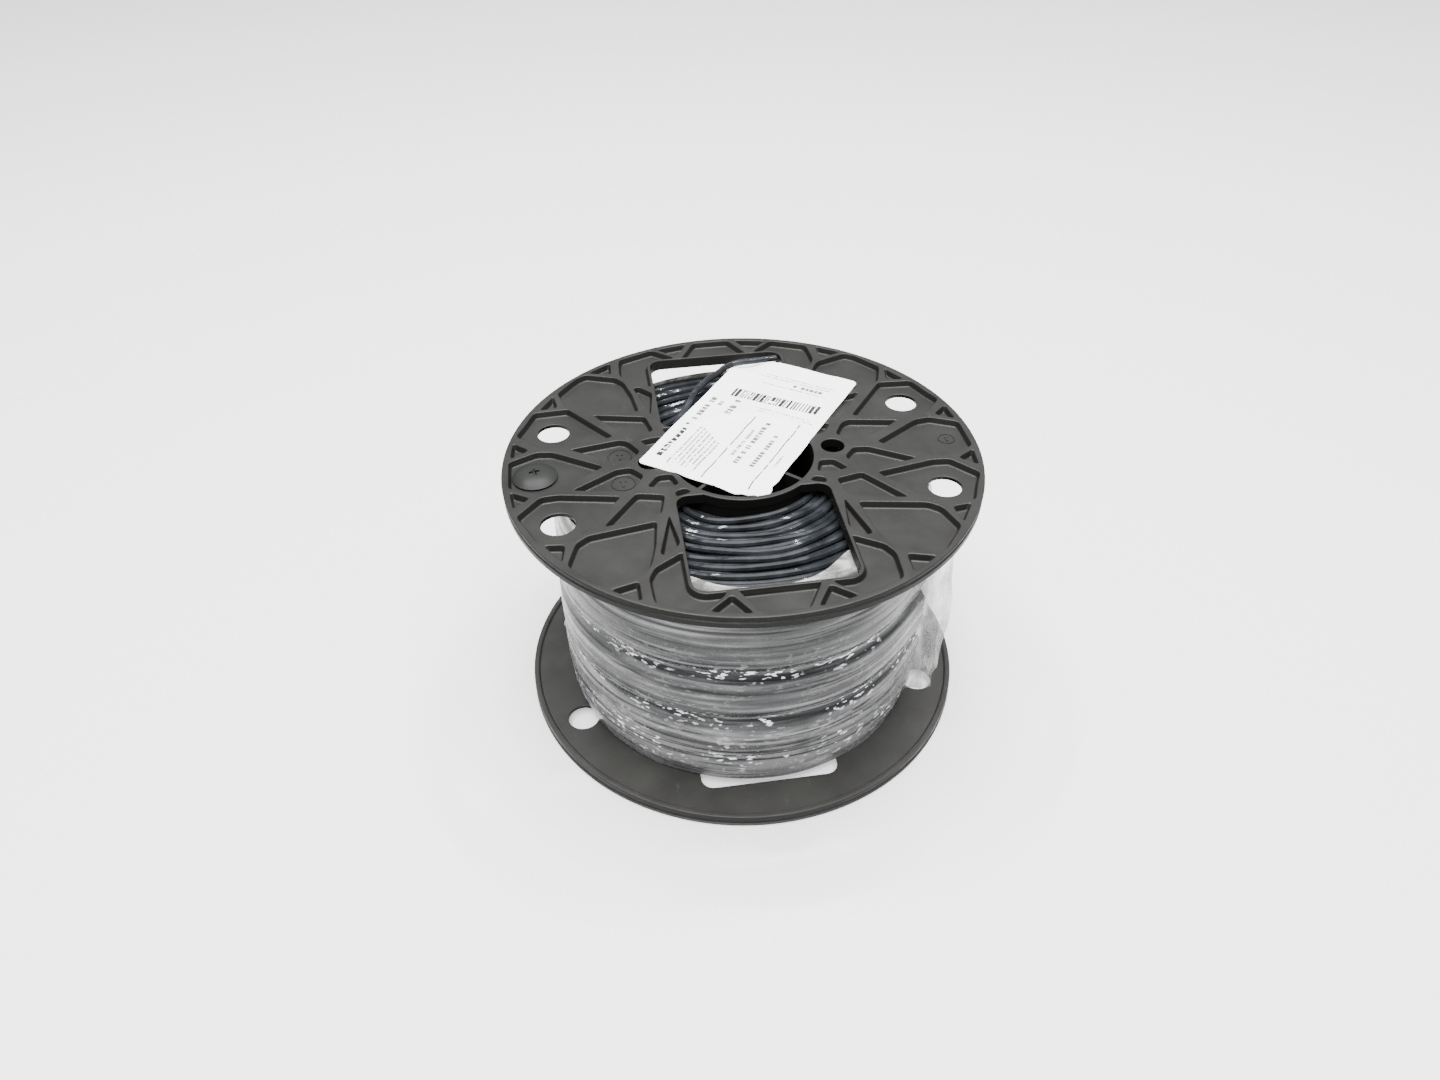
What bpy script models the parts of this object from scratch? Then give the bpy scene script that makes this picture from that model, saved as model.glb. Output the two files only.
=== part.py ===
"""A plastic reel of stretch-wrapped building wire with a paper label and a loose wire end.

The reel stands on its lower flange. The origin is the centre of its foot and +Z is the reel's
axis. The flanges' windows lie along Y, and the plug sits in the upper flange at -X.
"""

import math

import bmesh
import bpy
from mathutils import Matrix, Vector

MM = 0.001
CLEARANCE = 0.3 * MM

# The reel
REEL_HEIGHT = 98.4 * MM
FLANGE_RADIUS = 82.55 * MM
FLANGE_THICKNESS = 3.7 * MM
RIM_ROUND = 0.8 * MM
RIM_WIDTH = 2.3 * MM
RIM_BEAD_WIDTH = 2.0 * MM
RIM_BEAD_HEIGHT = 0.9 * MM
BARREL_RADIUS = 26.2 * MM
BARREL_WALL = 1.5 * MM
LIP_WALL = 1.0 * MM
LIP_REACH = 4.0 * MM
ARBOR_BORE_RADIUS = 15.9 * MM
ARBOR_WALL = 1.6 * MM
SPOKE_THICKNESS = 1.3 * MM
SPOKE_INSET = 1.0 * MM
SPOKE_ANGLE = 44.0

# The openings in a flange
WINDOW_HALF_WIDTH = 25.7 * MM
WINDOW_RIM_MARGIN = 14.05 * MM
WINDOW_FOOT = 21.0 * MM
WINDOW_CORNER = 4.5 * MM
WINDOW_FOOT_CORNER = 4.0 * MM
WINDOW_LEDGE = 0.4 * MM
WINDOW_LEAN = 1.0 * MM
WINDOW_BORDER = 1.2 * MM
BORDER_SINK = 0.1 * MM
TIE_HOLE_RADIUS = 5.65 * MM
TIE_HOLE_INSET = 12.85 * MM
TIE_HOLE_ANGLE = 22.5
DRIVE_HOLE_RADIUS = 4.05 * MM
DRIVE_HOLE_PLACE = 32.0 * MM

# The pockets between a flange's ribs
POCKET_DEPTH = 2.2 * MM
POCKET_DRAFT = 0.5 * MM
POCKET_CORNER = 1.3 * MM
DRAWN_INNER = 26.2 * MM
DRAWN_OUTER = 80.25 * MM

# Outlines of the pockets in one quarter of a flange, in millimetres at the rib tops
QUARTER_POCKETS = (
    ((33, 33), (55.2, 37), (59, 40.2), (62, 50), (60.3, 52.5), (54.6, 59.8), (51, 62.2),
     (39.6, 58), (36.8, 54), (34.5, 45)),
    ((43.4, 18), (63.9, 13.9), (69.7, 14.4), (77.4, 23.6), (74.3, 29.9), (71, 37.8),
     (59, 38.5), (57.7, 37.2)),
    ((58.8, 12), (41.2, 15.2), (38.5, 13.7), (34.8, 7.2), (38.8, 2.2), (44, 2.7)),
    ((49.8, 33), (31, 28.8), (29, 19.4), (37.8, 17.3), (39.1, 18.4)),
    ((26.6, 49.5), (35.8, 55.5), (38, 60), (37.6, 69), (37, 71.5), (24, 77), (16.3, 70.5),
     (16.2, 66.5), (24, 60)),
    ((28.8, 30.5), (33.5, 49.2), (31.6, 50), (26.9, 45)),
    ((62.4, 40.4), (68.9, 39.6), (63.6, 48.3)),
    ((41.2, 61), (49.8, 63.5), (41, 69.5)),
    ((73, 14), (79.5, 10), (78.5, 19)),
    ((9.8, 79.6), (21.8, 77.2), (14.7, 71.4)),
    ((23.5, 13.9), (25.5, 8), (30.4, 8.2), (34.3, 13.8), (28, 15)),
    ((20, 18.9), (22, 16.7), (25.3, 18), (25.3, 20.8)),
)
# Outlines of the pockets that lie across the X axis and across the Y axis
SIDE_POCKET = ((48, 0), (65, 11.3), (70.5, 12.1), (80, 7.5), (80, -7.5), (70.5, -12.1), (65, -11.3))
END_POCKET = ((7, 80), (12.5, 69.5), (12.5, 66.5), (-12.5, 66.5), (-12.5, 69.5), (-7, 80))

# The plug in the upper flange
PLUG_HEAD_RADIUS = 7.7 * MM
PLUG_HEAD_HEIGHT = 2.6 * MM
PLUG_EDGE_HEIGHT = 0.9 * MM
PLUG_SHANK_RADIUS = 3.0 * MM
PLUG_SHANK_REACH = 0.8 * MM
PLUG_RIM_INSET = 11.25 * MM
PLUG_SEAT_SINK = 0.15 * MM
PLUG_SLOT_LENGTH = 6.4 * MM
PLUG_SLOT_WIDTH = 1.3 * MM
PLUG_SLOT_DEPTH = 1.5 * MM

# The winding and its wrap
WIRE_DIAMETER = 2.45 * MM
TURNS_ACROSS = 15
COIL_TOP_GAP = 1.0 * MM
COIL_GROOVE = 0.7 * MM
COIL_END_SPREAD = 0.65 * MM
# The winding's side: shares of its height, and millimetres outside its top edge. It swells
# below the upper flange and is drawn in at two bands where the film is tightest.
COIL_SIDE = (
    (0.0, 1.0), (0.09, 2.4), (0.285, 2.6), (0.346, 1.1), (0.405, 2.5), (0.52, 2.3),
    (0.58, 0.8), (0.64, 2.2), (0.8, 1.7), (0.94, 1.1), (1.0, 0.0),
)
WRAP_THICKNESS = 0.5 * MM
WRAP_FOLD_REACH = 10.0 * MM
WRAP_FOLD_ANGLE = -25.0
WRAP_FOLD_SPREAD = 14.0

# The paper label on the upper flange
LABEL_LENGTH = 82.5 * MM
LABEL_WIDTH = 47.5 * MM
LABEL_THICKNESS = 0.3 * MM
LABEL_CORNER = 1.8 * MM
LABEL_X = 7.2 * MM
LABEL_Y = 19.7 * MM
LABEL_ANGLE = 54.0
LABEL_CELL = 5.5 * MM
LABEL_DIP = 4.0 * MM
LABEL_DIP_REACH = 16.0 * MM
LABEL_DROOP = 2.2 * MM
LABEL_DROOP_ANGLE = -83.0
LABEL_DROOP_SPREAD = 45.0

# The loose wire end: its route in millimetres, with heights above the upper flange
TAIL_ROUTE = (
    (-21.0, 25.4, -3.15), (-14.7, 36.7, -2.4), (-10.2, 46.1, -1.8), (-5.6, 51.6, -1.1),
    (-0.1, 56.3, -0.6), (3.2, 59.5, -0.3), (8.2, 61.8, -0.1), (16.6, 62.9, -0.3),
    (24.0, 64.0, -0.6),
)
TAIL_POINT_SPACING = 5.5 * MM

# Roundness of the turned pieces
FLANGE_SEGMENTS = 72
BARREL_SEGMENTS = 48
COIL_SEGMENTS = 32
HOLE_SEGMENTS = 20
PLUG_SEGMENTS = 24

HALF_HEIGHT = REEL_HEIGHT / 2 - CLEARANCE / 2
COIL_BOTTOM = FLANGE_THICKNESS + CLEARANCE
COIL_TOP = REEL_HEIGHT - FLANGE_THICKNESS - COIL_TOP_GAP
COIL_BORE = BARREL_RADIUS + CLEARANCE
COIL_RADIUS = COIL_BORE + TURNS_ACROSS * WIRE_DIAMETER + COIL_END_SPREAD
LABEL_UNDERSIDE = REEL_HEIGHT + CLEARANCE


def clear_scene():
    for thing in list(bpy.data.objects):
        bpy.data.objects.remove(thing)


def make_material(name, colour, roughness, metallic=0.0):
    material = bpy.data.materials.new(name)
    material.use_nodes = True
    shader = material.node_tree.nodes["Principled BSDF"]
    shader.inputs["Base Color"].default_value = (*colour, 1.0)
    shader.inputs["Roughness"].default_value = roughness
    shader.inputs["Metallic"].default_value = metallic
    return material


def make_object(name, bm, material=None, smooth_angle=None):
    """Turns a bmesh into a named object in the scene."""
    bmesh.ops.recalc_face_normals(bm, faces=bm.faces)
    mesh = bpy.data.meshes.new(name)
    bm.to_mesh(mesh)
    bm.free()
    if smooth_angle is not None:
        mesh.shade_smooth()
        mesh.set_sharp_from_angle(angle=math.radians(smooth_angle))
    thing = bpy.data.objects.new(name, mesh)
    if material:
        mesh.materials.append(material)
    bpy.context.scene.collection.objects.link(thing)
    return thing


def turned(profile, segments, closed=True):
    """A ring turned from a closed outline of (radius, height) points.

    An outline that isn't closed starts and ends on the axis and makes a solid with no bore.
    """
    bm = bmesh.new()
    corners = [bm.verts.new((radius, 0.0, height)) for radius, height in profile]
    first = 0 if closed else 1
    edges = [bm.edges.new((corners[i - 1], corners[i])) for i in range(first, len(corners))]
    bmesh.ops.spin(bm, geom=corners + edges, cent=(0, 0, 0), axis=(0, 0, 1),
                   angle=2 * math.pi, steps=segments, use_merge=True)
    return bm


def prism(bm, low_outline, high_outline, low, high):
    """Adds a solid between two outlines of the same number of (x, y) points."""
    bottom = [bm.verts.new((x, y, low)) for x, y in low_outline]
    top = [bm.verts.new((x, y, high)) for x, y in high_outline]
    bm.faces.new(bottom)
    bm.faces.new(top)
    for i in range(len(bottom)):
        bm.faces.new((bottom[i - 1], bottom[i], top[i], top[i - 1]))


def box(bm, low, high, turn=0.0):
    """Adds a box between two corners, turned about the Z axis by an angle in degrees."""
    made = bmesh.ops.create_cube(bm, size=1.0)["verts"]
    size = [high[i] - low[i] for i in range(3)]
    middle = [(high[i] + low[i]) / 2 for i in range(3)]
    bmesh.ops.scale(bm, vec=size, verts=made)
    bmesh.ops.translate(bm, vec=middle, verts=made)
    bmesh.ops.rotate(bm, cent=(0, 0, 0), verts=made,
                     matrix=Matrix.Rotation(math.radians(turn), 3, "Z"))


def circle(x, y, radius, segments):
    """The points of a circle, counter-clockwise."""
    angles = [2 * math.pi * (i + 0.5) / segments for i in range(segments)]
    return [(x + radius * math.cos(a), y + radius * math.sin(a)) for a in angles]


def arc(x, y, radius, start, end, steps):
    """Points along an arc from one angle to another, in degrees."""
    angles = [math.radians(start + (end - start) * i / steps) for i in range(steps + 1)]
    return [(x + radius * math.cos(a), y + radius * math.sin(a)) for a in angles]


def counter_clockwise(outline):
    area = sum(outline[i - 1][0] * outline[i][1] - outline[i][0] * outline[i - 1][1]
               for i in range(len(outline)))
    return list(outline) if area > 0 else list(reversed(outline))


def offset(outline, distance):
    """A counter-clockwise outline moved inward by a distance, or outward by a negative one."""
    moved = []
    for i in range(len(outline)):
        before, here, after = (Vector(outline[j]) for j in (i - 1, i, (i + 1) % len(outline)))
        along_in = (here - before).normalized()
        along_out = (after - here).normalized()
        normal = Vector((-along_in.y - along_out.y, along_in.x + along_out.x)).normalized()
        half_turn = Vector((-along_in.y, along_in.x)).dot(normal)
        moved.append(tuple(here + normal * distance / max(half_turn, 0.3)))
    return moved


def rounded(outline, radius, steps=1):
    """An outline with each corner cut back along a curve of steps + 1 points."""
    points = []
    for i in range(len(outline)):
        before, here, after = (Vector(outline[j]) for j in (i - 1, i, (i + 1) % len(outline)))
        reach_in = min(radius, (before - here).length * 0.4)
        reach_out = min(radius, (after - here).length * 0.4)
        start = here + (before - here).normalized() * reach_in
        end = here + (after - here).normalized() * reach_out
        for k in range(steps + 1):
            t = k / steps
            points.append(tuple(start * (1 - t) ** 2 + here * 2 * t * (1 - t) + end * t ** 2))
    return points


def on_flange(outline):
    """Moves an outline in millimetres to where it lies between this barrel and this rim."""
    placed = []
    drawn_span = DRAWN_OUTER - DRAWN_INNER
    span = FLANGE_RADIUS - RIM_WIDTH - BARREL_RADIUS
    for x, y in outline:
        point = Vector((x, y)) * MM
        radius = BARREL_RADIUS + (point.length - DRAWN_INNER) * span / drawn_span
        placed.append(tuple(point.normalized() * radius))
    return placed


def all_pocket_outlines():
    """Every pocket of a flange: the quarter's four ways, and the pairs on the two axes."""
    outlines = []
    for outline in QUARTER_POCKETS:
        for side in (1, -1):
            for end in (1, -1):
                outlines.append([(x * side, y * end) for x, y in outline])
    for way in (1, -1):
        outlines.append([(x * way, y) for x, y in SIDE_POCKET])
        outlines.append([(x, y * way) for x, y in END_POCKET])
    return [counter_clockwise(on_flange(outline)) for outline in outlines]


def pockets_cutter():
    """Tapered blocks that cut the pockets into a flange whose outer face is at height 0."""
    over = 0.5 * MM
    widening = POCKET_DRAFT * over / POCKET_DEPTH
    bm = bmesh.new()
    for outline in all_pocket_outlines():
        mouth = rounded(offset(outline, -widening), POCKET_CORNER)
        floor = rounded(offset(outline, POCKET_DRAFT), POCKET_CORNER)
        prism(bm, mouth, floor, -over, POCKET_DEPTH)
    return bm


def window_outline(height=0.0):
    """The window on +Y, whose inner side follows the barrel and whose far side leans in."""
    side = WINDOW_HALF_WIDTH
    far = FLANGE_RADIUS - WINDOW_RIM_MARGIN - WINDOW_LEAN * height / FLANGE_THICKNESS
    ledge = BARREL_RADIUS + WINDOW_LEDGE
    foot_angle = math.degrees(math.asin(min(WINDOW_FOOT / ledge, 0.95)))
    foot = ledge * math.sin(math.radians(foot_angle))
    outline = arc(0, 0, ledge, 180 - foot_angle, foot_angle, 12)
    for way in (1, -1):
        foot_corner = arc(way * (side - WINDOW_FOOT_CORNER), foot + WINDOW_FOOT_CORNER,
                          WINDOW_FOOT_CORNER, -90, -90 + way * 90, 4)
        far_corner = arc(way * (side - WINDOW_CORNER), far - WINDOW_CORNER,
                         WINDOW_CORNER, 90 - way * 90, 90, 4)
        outline += foot_corner + far_corner if way == 1 else far_corner[::-1] + foot_corner[::-1]
    return outline


def window_borders():
    """Blocks that fill the pockets again in a border around each window, just below the ribs."""
    low = BORDER_SINK
    high = (POCKET_DEPTH + FLANGE_THICKNESS) / 2
    bm = bmesh.new()
    border = offset(window_outline(), -WINDOW_BORDER)
    for way in (1, -1):
        outline = [(x, y * way) for x, y in border]
        prism(bm, outline, outline, low, high)
    return bm


def openings_cutter(with_plug_seat):
    """Blocks that cut the windows and holes through a flange at height 0."""
    over = 1.0 * MM
    low, high = -over, FLANGE_THICKNESS + over
    bm = bmesh.new()
    for way in (1, -1):
        low_outline = [(x, y * way) for x, y in window_outline(low)]
        high_outline = [(x, y * way) for x, y in window_outline(high)]
        prism(bm, low_outline, high_outline, low, high)
        hole = circle(way * DRIVE_HOLE_PLACE, 0, DRIVE_HOLE_RADIUS, HOLE_SEGMENTS)
        prism(bm, hole, hole, low, high)
    tie_circle = FLANGE_RADIUS - TIE_HOLE_INSET
    for turn in (TIE_HOLE_ANGLE, -TIE_HOLE_ANGLE, 180 - TIE_HOLE_ANGLE, 180 + TIE_HOLE_ANGLE):
        angle = math.radians(turn)
        hole = circle(tie_circle * math.cos(angle), tie_circle * math.sin(angle),
                      TIE_HOLE_RADIUS, HOLE_SEGMENTS)
        prism(bm, hole, hole, low, high)
    if with_plug_seat:
        add_plug_seat(bm, over)
    return bm


def add_plug_seat(bm, over):
    """Adds a stepped block that cuts the plug's seat and its shank's hole."""
    seat = PLUG_HEAD_RADIUS + CLEARANCE
    hole = PLUG_SHANK_RADIUS + CLEARANCE
    floor = POCKET_DEPTH + PLUG_SEAT_SINK
    steps = [(seat, -over), (seat, floor), (hole, floor), (hole, FLANGE_THICKNESS + over)]
    loops = []
    for radius, height in steps:
        outline = circle(PLUG_RIM_INSET - FLANGE_RADIUS, 0, radius, PLUG_SEGMENTS)
        loops.append([bm.verts.new((x, y, height)) for x, y in outline])
    bm.faces.new(loops[0])
    bm.faces.new(loops[-1])
    for low, high in zip(loops, loops[1:]):
        for i in range(len(low)):
            bm.faces.new((low[i - 1], low[i], high[i], high[i - 1]))


def flange_and_barrel(with_lip):
    """The turned profile of a flange and its half of the barrel, standing on its outer face."""
    inner = BARREL_RADIUS - BARREL_WALL
    lip_outer = inner - CLEARANCE
    lip_inner = lip_outer - LIP_WALL
    bead_top = FLANGE_THICKNESS + RIM_BEAD_HEIGHT
    bead_foot = FLANGE_RADIUS - RIM_BEAD_WIDTH - RIM_BEAD_HEIGHT
    profile = [
        (inner, 0), (FLANGE_RADIUS - RIM_ROUND, 0), (FLANGE_RADIUS, RIM_ROUND),
        (FLANGE_RADIUS, bead_top - RIM_ROUND / 2), (FLANGE_RADIUS - RIM_ROUND / 2, bead_top),
        (FLANGE_RADIUS - RIM_BEAD_WIDTH, bead_top), (bead_foot, FLANGE_THICKNESS),
        (BARREL_RADIUS, FLANGE_THICKNESS), (BARREL_RADIUS, HALF_HEIGHT),
    ]
    if with_lip:
        profile += [
            (lip_outer, HALF_HEIGHT), (lip_outer, HALF_HEIGHT + LIP_REACH),
            (lip_inner, HALF_HEIGHT + LIP_REACH), (lip_inner, HALF_HEIGHT - LIP_REACH),
            (inner, HALF_HEIGHT - LIP_REACH - LIP_WALL),
        ]
    else:
        profile.append((inner, HALF_HEIGHT))
    return turned(profile, FLANGE_SEGMENTS)


def arbor_and_spokes(spoke_top):
    """The tube around the bore, and the four spokes that reach into the barrel's wall."""
    outer = ARBOR_BORE_RADIUS + ARBOR_WALL
    tube = [(ARBOR_BORE_RADIUS, 0), (outer, 0), (outer, HALF_HEIGHT),
            (ARBOR_BORE_RADIUS, HALF_HEIGHT)]
    spokes = bmesh.new()
    start = outer - ARBOR_WALL / 2
    end = BARREL_RADIUS - BARREL_WALL / 2
    for turn in (SPOKE_ANGLE, -SPOKE_ANGLE, 180 - SPOKE_ANGLE, 180 + SPOKE_ANGLE):
        box(spokes, (start, -SPOKE_THICKNESS / 2, SPOKE_INSET),
            (end, SPOKE_THICKNESS / 2, spoke_top), turn)
    return turned(tube, BARREL_SEGMENTS), spokes


def add_boolean(target, tool, operation, place):
    """Adds a Boolean by a helper object, which is kept out of renders."""
    tool.hide_render = True
    tool.display_type = "WIRE"
    tool.parent = place
    modifier = target.modifiers.new(tool.name, "BOOLEAN")
    modifier.operation = operation
    modifier.object = tool
    modifier.solver = "EXACT"


def reel_half(name, material, upper):
    """One moulding of the reel: a flange, half the barrel and half the arbor tube."""
    place = bpy.data.objects.new(name + "_place", None)
    bpy.context.scene.collection.objects.link(place)
    if upper:
        place.location = (0, 0, REEL_HEIGHT)
        place.rotation_euler = (math.pi, 0, 0)
    half = make_object(name, flange_and_barrel(with_lip=not upper), material, 40)
    half.parent = place
    spoke_top = HALF_HEIGHT - LIP_REACH - LIP_WALL - CLEARANCE if upper else HALF_HEIGHT
    tube, spokes = arbor_and_spokes(spoke_top)
    add_boolean(half, make_object(name + "_arbor", tube), "UNION", place)
    add_boolean(half, make_object(name + "_spokes", spokes), "UNION", place)
    add_boolean(half, make_object(name + "_pockets", pockets_cutter()), "DIFFERENCE", place)
    add_boolean(half, make_object(name + "_borders", window_borders()), "UNION", place)
    add_boolean(half, make_object(name + "_openings", openings_cutter(upper)), "DIFFERENCE", place)
    return half


def wire_coil(material):
    """The winding as one turned ring whose end faces show its turns side by side."""
    ridge = WIRE_DIAMETER / 2
    profile = []
    for turn in range(TURNS_ACROSS):
        start = COIL_BORE + turn * WIRE_DIAMETER
        profile += [(start, COIL_BOTTOM + COIL_GROOVE), (start + ridge, COIL_BOTTOM)]
    side_height = COIL_TOP - COIL_BOTTOM - 2 * COIL_GROOVE
    for share, out in COIL_SIDE:
        profile.append((COIL_RADIUS + out * MM, COIL_BOTTOM + COIL_GROOVE + side_height * share))
    for turn in reversed(range(TURNS_ACROSS)):
        start = COIL_BORE + turn * WIRE_DIAMETER
        profile += [(start + ridge, COIL_TOP), (start, COIL_TOP - COIL_GROOVE)]
    return make_object("wire_coil", turned(profile, COIL_SEGMENTS), material, 30)


def wrap_fold(angle, share):
    """How far the wrap's loose fold stands out at an angle and a share of the height."""
    off = (angle - WRAP_FOLD_ANGLE + 180) % 360 - 180
    beside = max(0.0, 1 - abs(off) / WRAP_FOLD_SPREAD)
    up = math.sin(math.pi * min(max((share - 0.2) / 0.75, 0.0), 1.0))
    return WRAP_FOLD_REACH * beside * up


def stretch_wrap(material):
    """The film around the winding: a thin closed sleeve with one loose fold at its side."""
    segments = BARREL_SEGMENTS
    bm = bmesh.new()
    rings = []
    for layer in (0.0, WRAP_THICKNESS):
        for share, out in COIL_SIDE if layer == 0.0 else reversed(COIL_SIDE):
            height = COIL_BOTTOM + (COIL_TOP - COIL_BOTTOM) * share
            level = COIL_RADIUS + CLEARANCE + out * MM + layer
            ring = []
            for s in range(segments):
                turn = 360.0 * s / segments
                radius = level + wrap_fold(turn, share)
                angle = math.radians(turn)
                ring.append(bm.verts.new((radius * math.cos(angle), radius * math.sin(angle), height)))
            rings.append(ring)
    for i in range(len(rings)):
        for s in range(segments):
            bm.faces.new((rings[i - 1][s - 1], rings[i - 1][s], rings[i][s], rings[i][s - 1]))
    return make_object("stretch_wrap", bm, material, 40)


def smooth_step(value):
    value = min(max(value, 0.0), 1.0)
    return value * value * (3 - 2 * value)


def label_place(u, v):
    """The point on the flange's plan of a label point u along and v across from its centre."""
    turn = math.radians(LABEL_ANGLE)
    x = LABEL_X + u * math.cos(turn) - v * math.sin(turn)
    y = LABEL_Y + u * math.sin(turn) + v * math.cos(turn)
    return x, y


def label_drop(x, y):
    """How far the label hangs below its flat part: under the wire end and into the hub."""
    corner = label_place(LABEL_LENGTH / 2, LABEL_WIDTH / 2)
    from_corner = math.hypot(x - corner[0], y - corner[1])
    dip = LABEL_DIP * smooth_step(1 - from_corner / LABEL_DIP_REACH)
    arbor_edge = ARBOR_BORE_RADIUS + ARBOR_WALL + 2 * CLEARANCE
    barrel_edge = BARREL_RADIUS - BARREL_WALL
    outward = smooth_step((math.hypot(x, y) - arbor_edge) / (barrel_edge - arbor_edge))
    off = abs(math.degrees(math.atan2(y, x)) - LABEL_DROOP_ANGLE)
    droop = LABEL_DROOP * outward * smooth_step(1.4 * (1 - off / LABEL_DROOP_SPREAD))
    return dip + droop


def label_outline():
    """The label's cut outline, with the corner at the hub torn back."""
    long, wide = LABEL_LENGTH / 2, LABEL_WIDTH / 2
    r = LABEL_CORNER
    outline = arc(long - r, wide - r, r, 0, 90, 3)
    outline += arc(r - long, wide - r, r, 90, 180, 3)
    outline += [(-long, 10.5 * MM - wide), (3.2 * MM - long, 4.2 * MM - wide),
                (4.9 * MM - long, 1.4 * MM - wide), (8.0 * MM - long, -wide)]
    outline += arc(long - r, r - wide, r, -90, 0, 3)
    return outline


def paper_label(material):
    """The label as a thin bent sheet, cut into cells so that it can bend."""
    bm = bmesh.new()
    bm.faces.new([bm.verts.new((u, v, 0)) for u, v in label_outline()])
    for size, across in ((LABEL_LENGTH, Vector((1, 0, 0))), (LABEL_WIDTH, Vector((0, 1, 0)))):
        cells = max(2, round(size / LABEL_CELL))
        for k in range(1, cells):
            bmesh.ops.bisect_plane(bm, geom=bm.verts[:] + bm.edges[:] + bm.faces[:],
                                   plane_co=across * size * (k / cells - 0.5), plane_no=across)
    underside = bm.verts[:]
    made = bmesh.ops.extrude_face_region(bm, geom=bm.faces[:], use_keep_orig=True)["geom"]
    topside = [item for item in made if isinstance(item, bmesh.types.BMVert)]
    for verts, lift in ((underside, 0.0), (topside, LABEL_THICKNESS)):
        for vert in verts:
            x, y = label_place(vert.co.x, vert.co.y)
            vert.co = (x, y, LABEL_UNDERSIDE + lift - label_drop(x, y))
    bmesh.ops.triangulate(bm, faces=bm.faces[:])
    return make_object("label", bm, material)


def smooth_route(points, spacing):
    """Points about a spacing apart on the smooth curve through the route's own points."""
    ends = [points[0] * 2 - points[1]] + points + [points[-1] * 2 - points[-2]]
    fine = []
    for i in range(1, len(ends) - 2):
        a, b, c, d = ends[i - 1:i + 3]
        for k in range(20):
            t = k / 20
            fine.append(0.5 * (2 * b + (c - a) * t + (2 * a - 5 * b + 4 * c - d) * t ** 2
                               + (3 * b - a - 3 * c + d) * t ** 3))
    fine.append(points[-1])
    length = sum((fine[i] - fine[i - 1]).length for i in range(1, len(fine)))
    step = length / round(length / spacing)
    chosen, walked = [fine[0]], 0.0
    for i in range(1, len(fine)):
        walked += (fine[i] - fine[i - 1]).length
        if walked >= step * len(chosen) - 0.01 * step:
            chosen.append(fine[i])
    return chosen


def wire_tail(material):
    """The loose end of the wire, which rises out of the winding through the rear window."""
    route = [Vector((x, y, z)) * MM + Vector((0, 0, REEL_HEIGHT)) for x, y, z in TAIL_ROUTE]
    points = smooth_route(route, TAIL_POINT_SPACING)
    curve = bpy.data.curves.new("wire_tail", "CURVE")
    curve.dimensions = "3D"
    curve.bevel_depth = WIRE_DIAMETER / 2
    curve.bevel_resolution = 2
    curve.use_fill_caps = True
    spline = curve.splines.new("POLY")
    spline.points.add(len(points) - 1)
    for target, point in zip(spline.points, points):
        target.co = (*point, 1.0)
    curve.materials.append(material)
    tail = bpy.data.objects.new("wire_tail", curve)
    bpy.context.scene.collection.objects.link(tail)
    return tail


def flange_plug(material):
    """The domed plug with a cross slot that sits in the pocket at -X."""
    seat = REEL_HEIGHT - POCKET_DEPTH - PLUG_SEAT_SINK + CLEARANCE
    tip = REEL_HEIGHT - FLANGE_THICKNESS - PLUG_SHANK_REACH
    dome = [(PLUG_HEAD_RADIUS * math.cos(math.pi / 2 * k / 5),
             seat + PLUG_EDGE_HEIGHT
             + (PLUG_HEAD_HEIGHT - PLUG_EDGE_HEIGHT) * math.sin(math.pi / 2 * k / 5))
            for k in range(5)]
    profile = [(0, tip), (PLUG_SHANK_RADIUS, tip), (PLUG_SHANK_RADIUS, seat),
               (PLUG_HEAD_RADIUS, seat)] + dome + [(0, seat + PLUG_HEAD_HEIGHT)]
    bm = turned(profile, PLUG_SEGMENTS, closed=False)
    bmesh.ops.remove_doubles(bm, verts=bm.verts[:], dist=0.001 * MM)
    place = bpy.data.objects.new("flange_plug_place", None)
    bpy.context.scene.collection.objects.link(place)
    place.location = (PLUG_RIM_INSET - FLANGE_RADIUS, 0, 0)
    plug = make_object("flange_plug", bm, material, 40)
    plug.parent = place
    slot = bmesh.new()
    floor = seat + PLUG_HEAD_HEIGHT - PLUG_SLOT_DEPTH
    half_length, half_width = PLUG_SLOT_LENGTH / 2, PLUG_SLOT_WIDTH / 2
    cross = []
    for turn in range(4):
        quarter = Matrix.Rotation(math.radians(90 * turn), 2)
        for corner in ((half_length, -half_width), (half_length, half_width),
                       (half_width, half_width)):
            cross.append(tuple(quarter @ Vector(corner)))
    prism(slot, cross, cross, floor, seat + 2 * PLUG_HEAD_HEIGHT)
    add_boolean(plug, make_object("flange_plug_slot", slot), "DIFFERENCE", place)
    return plug


clear_scene()
FLANGE_PLASTIC = make_material("flange_plastic", (0.105, 0.103, 0.095), 0.5)
PLUG_PLASTIC = make_material("plug_plastic", (0.12, 0.125, 0.11), 0.45)
WIRE_JACKET = make_material("wire_jacket", (0.06, 0.065, 0.075), 0.3)
STRETCH_FILM = make_material("stretch_film", (0.25, 0.25, 0.25), 0.25)
LABEL_PAPER = make_material("label_paper", (0.85, 0.85, 0.83), 0.6)

reel_half("reel_half_bottom", FLANGE_PLASTIC, upper=False)
reel_half("reel_half_top", FLANGE_PLASTIC, upper=True)
wire_coil(WIRE_JACKET)
stretch_wrap(STRETCH_FILM)
paper_label(LABEL_PAPER)
wire_tail(WIRE_JACKET)
flange_plug(PLUG_PLASTIC)
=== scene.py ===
"""The looks of a plastic reel of stretch-wrapped building wire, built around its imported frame."""

import math
import random

import bmesh
import bpy
from mathutils import Matrix, Vector, noise


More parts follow.
